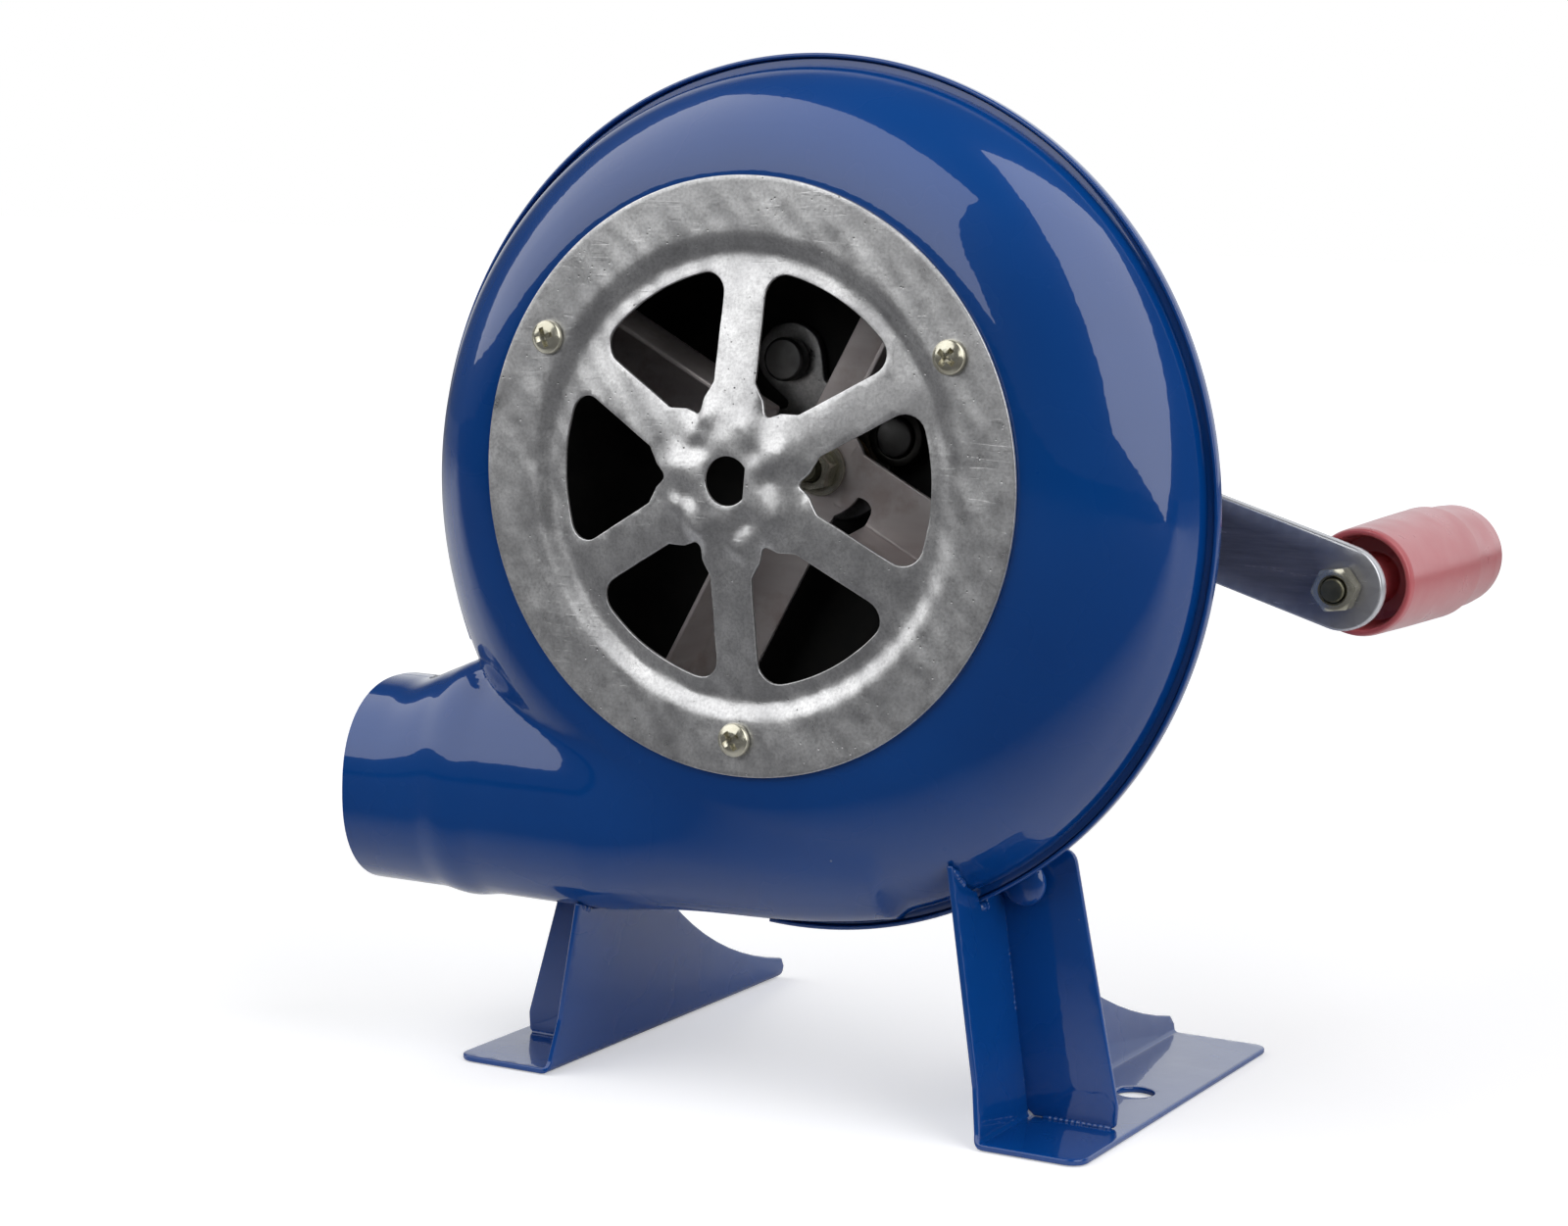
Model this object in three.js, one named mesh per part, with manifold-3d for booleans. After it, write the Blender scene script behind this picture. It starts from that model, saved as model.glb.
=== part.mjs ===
// Hand-cranked forge blower: a pressed-steel fan housing on two folded feet, with a
// geared crank at the back that spins a paddle wheel behind the inlet grille.
// Millimetres, +Z up. The inlet faces -Y, the outlet points to -X, every shaft lies along Y.
import * as THREE from 'three';
import { mergeVertices } from 'three/addons/utils/BufferGeometryUtils.js';
import Module from 'manifold-3d';

const wasm = await Module();
wasm.setup();

// ---- driving dimensions -------------------------------------------------------------
// Depths along Y are measured from the front face of the inlet grille.
const GAP = 0.3;                  // clearance between separate pieces that touch
const AXIS_HEIGHT = 157;          // fan axis above the surface that the feet stand on

const SHEET = 1.2;                // pressed housing sheet
const RIM_RADIUS = 104.5;         // housing radius at the seam
const RIM_X = 4;                  // seam circle centre from the fan axis
const RIM_Z = -6;
const LAND_RADIUS = 73;           // flat land round the inlet and flat back
const FRONT_FACE = 1.3;
const SEAM = 27.5;
const BACK_FACE = 55.5;
const INLET_RADIUS = 58.5;
const DOME_EXPONENT = 1.8;        // 2 is an ellipse, lower is flatter
const FLANGE_FROM = -94;          // the crimped seam runs round the rim between these angles
const FLANGE_TO = 204;
const FLANGE_WIDTH = 1.6;
const LIP = 1;                    // rear sheet folded over the front flange

const OUTLET_END = -117;
const OUTLET_Z = -88;
const OUTLET_HALF_HEIGHT = 27;
const OUTLET_HALF_DEPTH = 26.3;
const OUTLET_EXPONENT = 2.35;     // a round pipe with slightly flattened sides
const TAPER_START = -45;          // the duct narrows from here into the housing
const TAPER_END = 45;
const TAPER_SCALE = 0.55;
const TAPER_RISE = 12;
const BEAD_X = -87;               // hose bead round the outlet
const BEAD_HALF_WIDTH = 8;
const BEAD_HEIGHT = 1;

const GRILLE_RADIUS = 72;
const GRILLE_SHEET = 1;
const GRILLE_STEP_OUTER = 58;
const GRILLE_STEP_INNER = 53.5;
const GRILLE_STEP_DEPTH = 1.8;
const GRILLE_OPENING_RADIUS = 50;
const GRILLE_HUB_RADIUS = 21.5;
const GRILLE_HUB_FRONT = -7;
const SPOKES = 6;
const SPOKE_WIDTH = 11.7;
const OPENING_CORNER = 5;
const GRILLE_SCREW_CIRCLE = 63;
const GRILLE_SCREW_COUNT = 3;
const GRILLE_SCREW_FIRST = 30;

const FOOT_SHEET = 1.5;
const FOOT_X = 60;                // web line at floor level, each side of FOOT_CENTRE_X
const FOOT_CENTRE_X = 2;
const FOOT_FRONT = 9;
const FOOT_BACK = 134;
const FOOT_WIDTH = 28;
const FOOT_SPLAY = 9;             // degrees that each web leans in towards the housing
const FOOT_HOLE_RADIUS = 4.75;
const FOOT_HOLE_Y = 72;
const FOOT_CORNER = 4;
const STIFFENER_Y = 38;
const STIFFENER_WIDTH = 23;

const FAN_SHAFT_RADIUS = 4;
const FAN_THREAD_RADIUS = 3;
const WHEEL_Y = 41;               // front face of the wheel's spider
const WHEEL_SHEET = 1.2;
const WHEEL_RADIUS = 80;
const WHEEL_HUB_RADIUS = 19;
const ARM_WIDTH = 15;
const BLADE_DEPTH = 18;
const BLADES = 4;
const FIRST_BLADE = 62;

const BRACKET_SHEET = 2.5;
const GEAR_MODULE = 1;
const PINION_TEETH = 12;
const IDLER_TEETH = 48;
const CRANK_TEETH = 60;
const IDLER_DIRECTION = 120;      // degrees from +X, fan axis to idler axis
const CRANK_DIRECTION = -30;      // idler axis to crank axis
const FAN_GEAR_Y = 59.5;
const CRANK_GEAR_Y = 66;
const GEAR_FACE = 4.5;

const COVER_X = 3.5;
const COVER_Z = 14;
const COVER_RADIUS = 50;
const COVER_FLANGE = 58.4;
const COVER_BACK = 74;
const COVER_SCREWS = 4;
const COVER_SCREW_CIRCLE = 54.8;

const CRANK_SHAFT_RADIUS = 5;
const ARM_Y = 76;
const ARM_THICKNESS = 4;
const CRANK_ARM_WIDTH = 21;
const GRIP_X = 124;
const GRIP_Z = -24;
const GRIP_START = 90;
const GRIP_END = 172;
const GRIP_RADIUS = 14.6;
const GRIP_BOLT_RADIUS = 3;

const SMOOTH = 40;                // facets round the large pressings
const ROUND = 24;                 // facets round gears, covers and the grip
const FINE = 12;                  // facets round fasteners

// ---- derived positions ---------------------------------------------------------------
const radians = THREE.MathUtils.degToRad;
const polar = (radius, degrees) => [radius * Math.cos(radians(degrees)), radius * Math.sin(radians(degrees))];
const idlerReach = GEAR_MODULE * (PINION_TEETH + IDLER_TEETH) / 2;
const crankReach = GEAR_MODULE * (PINION_TEETH + CRANK_TEETH) / 2;
const IDLER = polar(idlerReach, IDLER_DIRECTION);
const CRANK = polar(crankReach, CRANK_DIRECTION).map((value, axis) => value + IDLER[axis]);
const GRIP = [GRIP_X, GRIP_Z];
const BRACKET_BACK = BACK_FACE - SHEET - GAP;
const BRACKET_FRONT = BRACKET_BACK - BRACKET_SHEET;

// ---- solids --------------------------------------------------------------------------
function toSolid(geometry) {
  const bare = geometry.clone();
  for (const name of ['normal', 'uv']) {
    bare.deleteAttribute(name);
  }
  const merged = mergeVertices(bare, 1e-4);
  const points = merged.attributes.position.array;
  const kept = [];
  for (let i = 0; i < merged.index.count; i += 3) {
    const [a, b, c] = merged.index.array.slice(i, i + 3);
    if (a !== b && b !== c && c !== a) {
      kept.push([a, b, c]);
    }
  }
  const corner = (k) => new THREE.Vector3().fromArray(points, 3 * k);
  const volume = kept.reduce((sum, [a, b, c]) => sum + corner(a).dot(corner(b).cross(corner(c))), 0);
  const triVerts = kept.flatMap(([a, b, c]) => (volume < 0 ? [a, c, b] : [a, b, c]));
  return new wasm.Manifold(new wasm.Mesh({
    numProp: 3,
    vertProperties: new Float32Array(points),
    triVerts: new Uint32Array(triVerts),
  }));
}

function toGeometry(solid) {
  const mesh = solid.getMesh();
  const geometry = new THREE.BufferGeometry();
  geometry.setAttribute('position', new THREE.BufferAttribute(mesh.vertProperties, 3));
  geometry.setIndex(new THREE.BufferAttribute(mesh.triVerts, 1));
  geometry.computeVertexNormals();
  return geometry;
}

const join = (first, ...others) => others.reduce((sum, other) => sum.add(other), first);
const cut = (first, ...others) => others.reduce((rest, other) => rest.subtract(other), first);

// A solid of revolution about an axis parallel to Y; the profile lists [radius, y].
function revolve(profile, segments = ROUND, centre = [0, 0]) {
  const points = profile.map(([radius, y]) => new THREE.Vector2(radius, y));
  const open = points[0].x === 0 && points.at(-1).x === 0;
  if (!open) {
    points.push(points[0].clone());
  }
  return toSolid(new THREE.LatheGeometry(points, segments).translate(centre[0], 0, centre[1]));
}

function rod(radius, from, to, centre = [0, 0], segments = FINE) {
  return revolve([[0, from], [radius, from], [radius, to], [0, to]], segments, centre);
}

function tube(outer, inner, from, to, centre = [0, 0], segments = FINE) {
  return revolve([[inner, from], [outer, from], [outer, to], [inner, to]], segments, centre);
}

// A flat piece: an outline in X and Z, from one depth to another along Y. turn is in
// degrees from +X towards +Z, about the outline's own origin.
function slab(shape, from, to, centre = [0, 0], turn = 0, curveSegments = 8) {
  const geometry = new THREE.ExtrudeGeometry(shape, { depth: to - from, bevelEnabled: false, curveSegments });
  geometry.rotateX(Math.PI / 2).rotateY(-radians(turn));
  return toSolid(geometry.translate(centre[0], to, centre[1]));
}

function block(min, max, turn = 0) {
  const size = max.map((value, axis) => value - min[axis]);
  const middle = max.map((value, axis) => (value + min[axis]) / 2);
  return toSolid(new THREE.BoxGeometry(...size).translate(...middle).rotateY(-radians(turn)));
}

const around = (count, first, make) => Array.from({ length: count }, (_, k) => make(first + (360 * k) / count, k));

function circleShape(radius, x = 0, z = 0) {
  return new THREE.Shape().absarc(x, z, radius, 0, 2 * Math.PI);
}

function polygon(points) {
  return new THREE.Shape(points.map(([x, z]) => new THREE.Vector2(x, z)));
}

function hexagon(acrossFlats, bore = 0) {
  const corners = Array.from({ length: 6 }, (_, k) => polar(acrossFlats / Math.sqrt(3), 60 * k + 30));
  const shape = polygon(corners);
  if (bore) {
    shape.holes.push(circleShape(bore));
  }
  return shape;
}

function nut(acrossFlats, bore, from, to, centre) {
  return slab(hexagon(acrossFlats, bore + GAP), from, to, centre);
}

// ---- housing -------------------------------------------------------------------------
// The seam circle is off the fan axis, so each ring of a pressing is shifted in step
// with its radius: not at all on the flat land, fully at the rim.
function offCentre(geometry) {
  const position = geometry.attributes.position;
  for (let i = 0; i < position.count; i += 1) {
    const radius = Math.hypot(position.getX(i), position.getZ(i));
    const share = THREE.MathUtils.clamp((radius - LAND_RADIUS) / (RIM_RADIUS - LAND_RADIUS), 0, 1);
    position.setX(i, position.getX(i) + share * RIM_X);
    position.setZ(i, position.getZ(i) + share * RIM_Z);
  }
  return geometry;
}

// The bowl between the seam and one face; inset shrinks it by a sheet thickness.
function bowl(face, inset, overrun) {
  const depth = Math.abs(face - SEAM) - inset;
  const towards = Math.sign(face - SEAM);
  const rim = RIM_RADIUS - inset;
  const steps = 5;
  const profile = [[0, SEAM - towards * overrun], [rim, SEAM - towards * overrun]];
  for (let k = 0; k <= steps; k += 1) {
    const angle = (k / steps) * Math.PI / 2;
    const out = Math.cos(angle) ** (2 / DOME_EXPONENT);
    const along = Math.sin(angle) ** (2 / DOME_EXPONENT);
    const radius = k === steps ? LAND_RADIUS : LAND_RADIUS + (rim - LAND_RADIUS) * out;
    profile.push([radius, SEAM + towards * depth * along]);
  }
  profile.push([0, SEAM + towards * depth]);
  const points = profile.map(([radius, y]) => new THREE.Vector2(radius, y));
  return toSolid(offCentre(new THREE.LatheGeometry(points, SMOOTH)));
}

// The outlet duct: one rounded section along X, with a bead near its mouth and a
// taper that lets it vanish into the bottom of the housing.
function duct(inset, overrun) {
  const corners = 24;
  const outline = Array.from({ length: corners }, (_, k) => {
    const [c, s] = polar(1, (360 * k) / corners);
    const bulge = (Math.abs(c) ** OUTLET_EXPONENT + Math.abs(s) ** OUTLET_EXPONENT) ** (-1 / OUTLET_EXPONENT);
    return [c * bulge * (OUTLET_HALF_DEPTH - inset), s * bulge * (OUTLET_HALF_HEIGHT - inset)];
  });
  const length = TAPER_END - OUTLET_END;
  const geometry = new THREE.ExtrudeGeometry(polygon(outline), { depth: length, steps: 14, bevelEnabled: false });
  const position = geometry.attributes.position;
  for (let i = 0; i < position.count; i += 1) {
    const along = position.getZ(i);
    const x = along === 0 ? OUTLET_END - overrun : OUTLET_END + along;
    const taper = THREE.MathUtils.clamp((x - TAPER_START) / (TAPER_END - TAPER_START), 0, 1);
    const nearBead = Math.max(0, 1 - ((x - BEAD_X) / BEAD_HALF_WIDTH) ** 2);
    const bead = 1 + (BEAD_HEIGHT * nearBead) / OUTLET_HALF_HEIGHT;
    const scale = bead * (1 - taper * (1 - TAPER_SCALE));
    const drop = taper * ((1 - TAPER_SCALE) * OUTLET_HALF_HEIGHT - TAPER_RISE);
    position.setXYZ(i, x, SEAM + scale * position.getX(i), OUTLET_Z - drop + scale * position.getY(i));
  }
  return toSolid(geometry);
}

function rimArc(inner, outer) {
  const shape = new THREE.Shape();
  shape.absarc(0, 0, outer, radians(FLANGE_FROM), radians(FLANGE_TO), false);
  shape.absarc(0, 0, inner, radians(FLANGE_TO), radians(FLANGE_FROM), true);
  return shape;
}

function rimBand(inner, outer, from, to) {
  return slab(rimArc(RIM_RADIUS + inner, RIM_RADIUS + outer), from, to, [RIM_X, RIM_Z], 0, SMOOTH);
}

const FAR = 300;
const frontSpace = block([-FAR, -FAR, -FAR], [FAR, SEAM - GAP / 2, FAR]);
const rearSpace = block([-FAR, SEAM + GAP / 2, -FAR], [FAR, FAR, FAR]);

// One half of the housing with its share of the seam.
function pressing(face, space, flanges) {
  const skin = join(bowl(face, 0, 1), duct(0, 0)).intersect(space);
  const hollow = join(bowl(face, SHEET, 2), duct(SHEET, 2));
  return cut(join(skin, ...flanges), hollow);
}

function frontHousing() {
  const flange = rimBand(-SHEET / 2, FLANGE_WIDTH, SEAM - GAP / 2 - 0.8, SEAM - GAP / 2);
  const screwHoles = grilleScrewCentres().map((centre) => rod(2.2, -5, 6, centre, 12));
  const inlet = rod(INLET_RADIUS, -5, 6, [0, 0], SMOOTH);
  return cut(pressing(FRONT_FACE, frontSpace, [flange]), inlet, ...screwHoles);
}

function rearHousing() {
  const seat = SEAM + GAP / 2;
  const lipFrom = FLANGE_WIDTH + GAP;
  const flange = rimBand(-SHEET / 2, lipFrom + LIP, seat, seat + 1);
  const lip = rimBand(lipFrom, lipFrom + LIP, seat - 2.2, seat + 0.5);
  const holes = [
    rod(7 + GAP, BACK_FACE - 5, BACK_FACE + 2, [0, 0]),
    rod(4 + GAP, BACK_FACE - 5, BACK_FACE + 2, IDLER),
    rod(7.5 + GAP, BACK_FACE - 5, BACK_FACE + 2, CRANK),
    ...coverScrewCentres().map((centre) => rod(1.9, BACK_FACE - 5, BACK_FACE + 2, centre, 12)),
    ...bracketRivetCentres().map((centre) => rod(1.9, BACK_FACE - 5, BACK_FACE + 2, centre, 12)),
  ];
  return cut(pressing(BACK_FACE, rearSpace, [flange, lip]), ...holes);
}

// ---- inlet grille --------------------------------------------------------------------
function grilleScrewCentres() {
  return around(GRILLE_SCREW_COUNT, GRILLE_SCREW_FIRST, (angle) => polar(GRILLE_SCREW_CIRCLE, angle));
}

// One window between two spokes, drawn on the +X side: straight along the spokes, round
// at the hub and the ring, with filleted outer corners.
function windowShape() {
  const half = SPOKE_WIDTH / 2;
  const hubAngle = 30 - THREE.MathUtils.radToDeg(Math.asin(half / GRILLE_HUB_RADIUS));
  const filletReach = Math.sqrt((GRILLE_OPENING_RADIUS - OPENING_CORNER) ** 2 - (half + OPENING_CORNER) ** 2);
  const spokeTurn = 30;
  const onSpoke = (along, aside, sign) => {
    const [c, s] = polar(1, sign * spokeTurn);
    return [along * c + sign * aside * s, along * s - sign * aside * c];
  };
  const [fx, fz] = onSpoke(filletReach, half + OPENING_CORNER, 1);
  const ringAngle = Math.atan2(fz, fx);
  const shape = new THREE.Shape();
  shape.absarc(0, 0, GRILLE_OPENING_RADIUS, -ringAngle, ringAngle, false);
  shape.absarc(fx, fz, OPENING_CORNER, ringAngle, radians(90 + spokeTurn), false);
  shape.absarc(0, 0, GRILLE_HUB_RADIUS, radians(hubAngle), radians(-hubAngle), true);
  shape.absarc(fx, -fz, OPENING_CORNER, radians(-90 - spokeTurn), -ringAngle, false);
  return shape;
}

function inletGrille() {
  const front = [
    [0, GRILLE_HUB_FRONT],
    [9, GRILLE_HUB_FRONT],
    [20, GRILLE_HUB_FRONT + 2.2],
    [GRILLE_STEP_INNER, GRILLE_STEP_DEPTH],
    [GRILLE_STEP_OUTER, 0],
    [GRILLE_RADIUS, 0],
  ];
  const back = front.map(([radius, y]) => [radius, y + GRILLE_SHEET]).reverse();
  const dish = revolve([...front, ...back], 48);
  const windows = around(SPOKES, 0, (angle) => slab(windowShape(), -20, 20, [0, 0], angle, 4));
  const screwHoles = grilleScrewCentres().map((centre) => rod(2.2, -5, 6, centre, 12));
  const keyHole = cut(rod(6.15, -20, 5), block([4.7, -20, -8], [8, 5, 8]));
  return cut(dish, ...windows, ...screwHoles, keyHole);
}

// heads points from the seat towards the screw head: -1 to the front, +1 to the back.
function panScrew(centre, seat, heads, headRadius, shankRadius, shankLength) {
  const height = heads * headRadius * 0.57;
  return revolve([
    [0, seat + height],
    [headRadius * 0.6, seat + height * 0.93],
    [headRadius * 0.92, seat + height * 0.6],
    [headRadius, seat],
    [shankRadius, seat],
    [shankRadius, seat - heads * shankLength],
    [0, seat - heads * shankLength],
  ], FINE, centre);
}

// ---- feet ----------------------------------------------------------------------------
// Each foot is one folded sheet: a web that leans in to the housing, a base that turns
// outward with one bolt hole, and a stiffener across the web. side is +1 right, -1 left.
function foot(side, envelope, webTop) {
  const lean = Math.tan(radians(FOOT_SPLAY));
  const sheet = FOOT_SHEET;
  const foldX = FOOT_CENTRE_X + side * FOOT_X;
  const floor = -AXIS_HEIGHT;
  const webOutline = new THREE.Shape();
  webOutline.moveTo(FOOT_FRONT + 1, floor + 0.4);
  webOutline.lineTo(FOOT_FRONT + 3, floor + 14);
  webOutline.lineTo(FOOT_FRONT + 3, webTop);
  webOutline.lineTo(30, webTop);
  webOutline.lineTo(34, -101);
  webOutline.quadraticCurveTo(75, -140, FOOT_BACK - 2, -151);
  webOutline.lineTo(FOOT_BACK, floor + 0.4);
  const upright = new THREE.Matrix4().makeBasis(
    new THREE.Vector3(0, 1, 0),
    new THREE.Vector3(-side * lean, 0, 1),
    new THREE.Vector3(1, 0, 0),
  );
  const webSheet = new THREE.ExtrudeGeometry(webOutline, { depth: sheet, bevelEnabled: false, curveSegments: 10 });
  webSheet.applyMatrix4(upright);
  webSheet.translate(foldX - sheet / 2 + side * lean * floor, 0, 0);

  const stiffenerOutline = polygon([
    [foldX - side * lean * (webTop - floor), webTop],
    [foldX + side * (STIFFENER_WIDTH - lean * (webTop - floor) - 1), webTop],
    [foldX + side * (STIFFENER_WIDTH + 2), floor + 0.8],
    [foldX, floor + 0.8],
  ]);
  const stiffener = slab(stiffenerOutline, STIFFENER_Y, STIFFENER_Y + sheet);

  const base = new THREE.Shape();
  const [inner, outer] = [side * -sheet / 2, side * FOOT_WIDTH];
  base.moveTo(inner, FOOT_FRONT);
  base.lineTo(outer - side * FOOT_CORNER, FOOT_FRONT);
  base.quadraticCurveTo(outer, FOOT_FRONT, outer, FOOT_FRONT + FOOT_CORNER);
  base.lineTo(outer, FOOT_BACK - FOOT_CORNER);
  base.quadraticCurveTo(outer, FOOT_BACK, outer - side * FOOT_CORNER, FOOT_BACK);
  base.lineTo(inner, FOOT_BACK);
  const hole = new THREE.Path().absarc(side * FOOT_WIDTH * 0.55, FOOT_HOLE_Y, FOOT_HOLE_RADIUS, 0, 2 * Math.PI);
  base.holes.push(hole);
  const baseSheet = new THREE.ExtrudeGeometry(base, { depth: sheet, bevelEnabled: false, curveSegments: 10 });
  baseSheet.translate(foldX, 0, floor);
  return cut(join(toSolid(webSheet), stiffener, toSolid(baseSheet)), envelope);
}

// ---- fan -----------------------------------------------------------------------------
// A spider of flat arms, each with a paddle folded forward along its lower edge.
function fanWheel() {
  const hub = tube(WHEEL_HUB_RADIUS, FAN_THREAD_RADIUS + GAP, WHEEL_Y, WHEEL_Y + WHEEL_SHEET, [0, 0], ROUND);
  const back = WHEEL_Y + WHEEL_SHEET;
  const edge = -ARM_WIDTH / 2;
  const arms = around(BLADES, FIRST_BLADE, (angle) => join(
    block([10, WHEEL_Y, edge], [WHEEL_RADIUS, back, -edge], angle),
    block([WHEEL_HUB_RADIUS + 5, WHEEL_Y - BLADE_DEPTH, edge], [WHEEL_RADIUS, back, edge + WHEEL_SHEET], angle),
  ));
  return cut(join(hub, ...arms), rod(FAN_THREAD_RADIUS + GAP, WHEEL_Y - 1, WHEEL_Y + 3));
}

function fanShaft() {
  return revolve([
    [0, WHEEL_Y - 8],
    [FAN_THREAD_RADIUS, WHEEL_Y - 8],
    [FAN_THREAD_RADIUS, WHEEL_Y + WHEEL_SHEET + GAP],
    [FAN_SHAFT_RADIUS, WHEEL_Y + WHEEL_SHEET + GAP],
    [FAN_SHAFT_RADIUS, FAN_GEAR_Y + GEAR_FACE + 0.8],
    [0, FAN_GEAR_Y + GEAR_FACE + 0.8],
  ], FINE);
}

// ---- gears ---------------------------------------------------------------------------
// Straight-flanked teeth, thinned for running clearance. turn sets the first tooth.
function gearWheel(teeth, bore, from, to, centre, turn) {
  const pitchRadius = (GEAR_MODULE * teeth) / 2;
  const pitchAngle = 360 / teeth;
  const addendum = 0.75 * GEAR_MODULE;
  const dedendum = 1.05 * GEAR_MODULE;
  const outline = [];
  for (let k = 0; k < teeth; k += 1) {
    const middle = turn + k * pitchAngle;
    const corners = [
      [pitchRadius - dedendum, -0.31],
      [pitchRadius + addendum, -0.13],
      [pitchRadius + addendum, 0.13],
      [pitchRadius - dedendum, 0.31],
    ];
    for (const [radius, share] of corners) {
      outline.push(polar(radius, middle + share * pitchAngle));
    }
  }
  const shape = polygon(outline);
  shape.holes.push(circleShape(bore));
  return slab(shape, from, to, centre);
}

// Two meshing gears: a tooth of the first points at the second, which shows it a gap.
const meshTurn = (direction, teeth) => direction + 180 + 180 / teeth;

// ---- gear case and crank -------------------------------------------------------------
function coverScrewCentres() {
  return around(COVER_SCREWS, 45, (angle) => {
    const [x, z] = polar(COVER_SCREW_CIRCLE, angle);
    return [COVER_X + x, COVER_Z + z];
  });
}

function gearCover() {
  const from = BACK_FACE + GAP;
  const cap = revolve([
    [0, COVER_BACK],
    [COVER_RADIUS - 3, COVER_BACK],
    [COVER_RADIUS, COVER_BACK - 3],
    [COVER_RADIUS + 0.8, from + SHEET],
    [COVER_FLANGE, from + SHEET],
    [COVER_FLANGE, from],
    [COVER_RADIUS - SHEET + 0.8, from],
    [COVER_RADIUS - SHEET, COVER_BACK - 3.4],
    [COVER_RADIUS - 3.6, COVER_BACK - SHEET],
    [0, COVER_BACK - SHEET],
  ], 40, [COVER_X, COVER_Z]);
  const screwHoles = coverScrewCentres().map((centre) => rod(1.9, from - 1, from + 3, centre, 12));
  return cut(cap, rod(7.5 + GAP, COVER_BACK - 4, COVER_BACK + 2, CRANK), ...screwHoles);
}

function bracketRivetCentres() {
  return [[3, 18], [-22, 6]];
}

// The plate inside the back wall that ties the fan bearing to the idler pin.
function bearingBracket() {
  const lobe = (centre, radius) => rod(radius, BRACKET_FRONT, BRACKET_BACK, centre, 24);
  const hole = (centre, radius) => rod(radius, BRACKET_FRONT - 1, BRACKET_BACK + 1, centre);
  const strap = block([0, BRACKET_FRONT, -12], [idlerReach, BRACKET_BACK, 12], IDLER_DIRECTION);
  const plate = join(lobe([0, 0], 14), lobe(IDLER, 12), lobe([3, 18], 7), lobe([-22, 6], 7), strap);
  return cut(
    plate,
    hole([0, 0], 7 + GAP),
    hole(IDLER, 4 + GAP),
    hole(CRANK, 7.5 + GAP),
    ...bracketRivetCentres().map((centre) => hole(centre, 1.9)),
  );
}

function bracketRivet(centre) {
  return revolve([
    [0, BRACKET_FRONT - 1.6],
    [2, BRACKET_FRONT - 1.3],
    [3, BRACKET_FRONT - GAP],
    [1.6, BRACKET_FRONT - GAP],
    [1.6, BACK_FACE + 0.9],
    [0, BACK_FACE + 0.9],
  ], FINE, centre);
}

function flangedBush(bore, outer, flange, from, flangeEnd, to, centre) {
  return revolve([
    [bore, from],
    [flange, from],
    [flange, flangeEnd],
    [outer, flangeEnd],
    [outer, to],
    [bore, to],
  ], 24, centre);
}

function idlerPin() {
  return revolve([
    [0, BRACKET_FRONT - 4.3],
    [5, BRACKET_FRONT - 4.3],
    [5.6, BRACKET_FRONT - 3.7],
    [5.6, BRACKET_FRONT - GAP],
    [4, BRACKET_FRONT - GAP],
    [4, BACK_FACE + 2.5],
    [3, BACK_FACE + 2.5],
    [3, CRANK_GEAR_Y + GEAR_FACE + 2],
    [0, CRANK_GEAR_Y + GEAR_FACE + 2],
  ], FINE, IDLER);
}

function crankShaft() {
  return revolve([
    [0, BACK_FACE - 7],
    [CRANK_SHAFT_RADIUS, BACK_FACE - 7],
    [CRANK_SHAFT_RADIUS, ARM_Y - GAP],
    [4, ARM_Y - GAP],
    [4, ARM_Y + ARM_THICKNESS + 9],
    [0, ARM_Y + ARM_THICKNESS + 9],
  ], FINE, CRANK);
}

function crankArm() {
  const dx = GRIP[0] - CRANK[0];
  const dz = GRIP[1] - CRANK[1];
  const reach = Math.hypot(dx, dz);
  const half = CRANK_ARM_WIDTH / 2;
  const bar = new THREE.Shape();
  bar.absarc(0, 0, half, Math.PI / 2, 1.5 * Math.PI, false);
  bar.absarc(reach, 0, half, -Math.PI / 2, Math.PI / 2, false);
  bar.holes.push(circleShape(4 + GAP));
  bar.holes.push(circleShape(GRIP_BOLT_RADIUS + GAP, reach, 0));
  const slope = THREE.MathUtils.radToDeg(Math.atan2(dz, dx));
  return slab(bar, ARM_Y, ARM_Y + ARM_THICKNESS, CRANK, slope, 12);
}

function gripBolt() {
  return revolve([
    [0, ARM_Y - 6.5],
    [GRIP_BOLT_RADIUS, ARM_Y - 6.5],
    [GRIP_BOLT_RADIUS, GRIP_END - 10],
    [5.2, GRIP_END - 10],
    [5.2, GRIP_END - 6.5],
    [0, GRIP_END - 6.5],
  ], FINE, GRIP);
}

function handGrip() {
  const bore = GRIP_BOLT_RADIUS + 0.6;
  return revolve([
    [bore, GRIP_START + 1],
    [6, GRIP_START + 1],
    [6.4, GRIP_START + 12],
    [10.8, GRIP_START + 12],
    [11.6, GRIP_START],
    [13, GRIP_START],
    [13.4, GRIP_START + 1],
    [14.2, GRIP_START + 28],
    [GRIP_RADIUS, GRIP_START + 50],
    [GRIP_RADIUS, GRIP_START + 54],
    [GRIP_RADIUS - 0.8, GRIP_START + 55.5],
    [GRIP_RADIUS - 1, GRIP_END - 6],
    [GRIP_RADIUS - 2.6, GRIP_END - 2],
    [GRIP_RADIUS - 6, GRIP_END],
    [6.5, GRIP_END],
    [6.5, GRIP_END - 10.6],
    [bore, GRIP_END - 10.6],
  ], ROUND, GRIP);
}

// ---- assembly ------------------------------------------------------------------------
const finishes = {
  bluePaint: [0x0a4796, 0.22, 0.0],
  galvanised: [0xb9b9b5, 0.4, 0.9],
  zincPlated: [0xc9c3a4, 0.3, 0.9],
  brightSteel: [0x9a9ca0, 0.3, 1.0],
  darkChrome: [0x3c4150, 0.2, 1.0],
  bronze: [0xa5773d, 0.45, 0.9],
  redPlastic: [0xb0525f, 0.3, 0.0],
};

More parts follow.
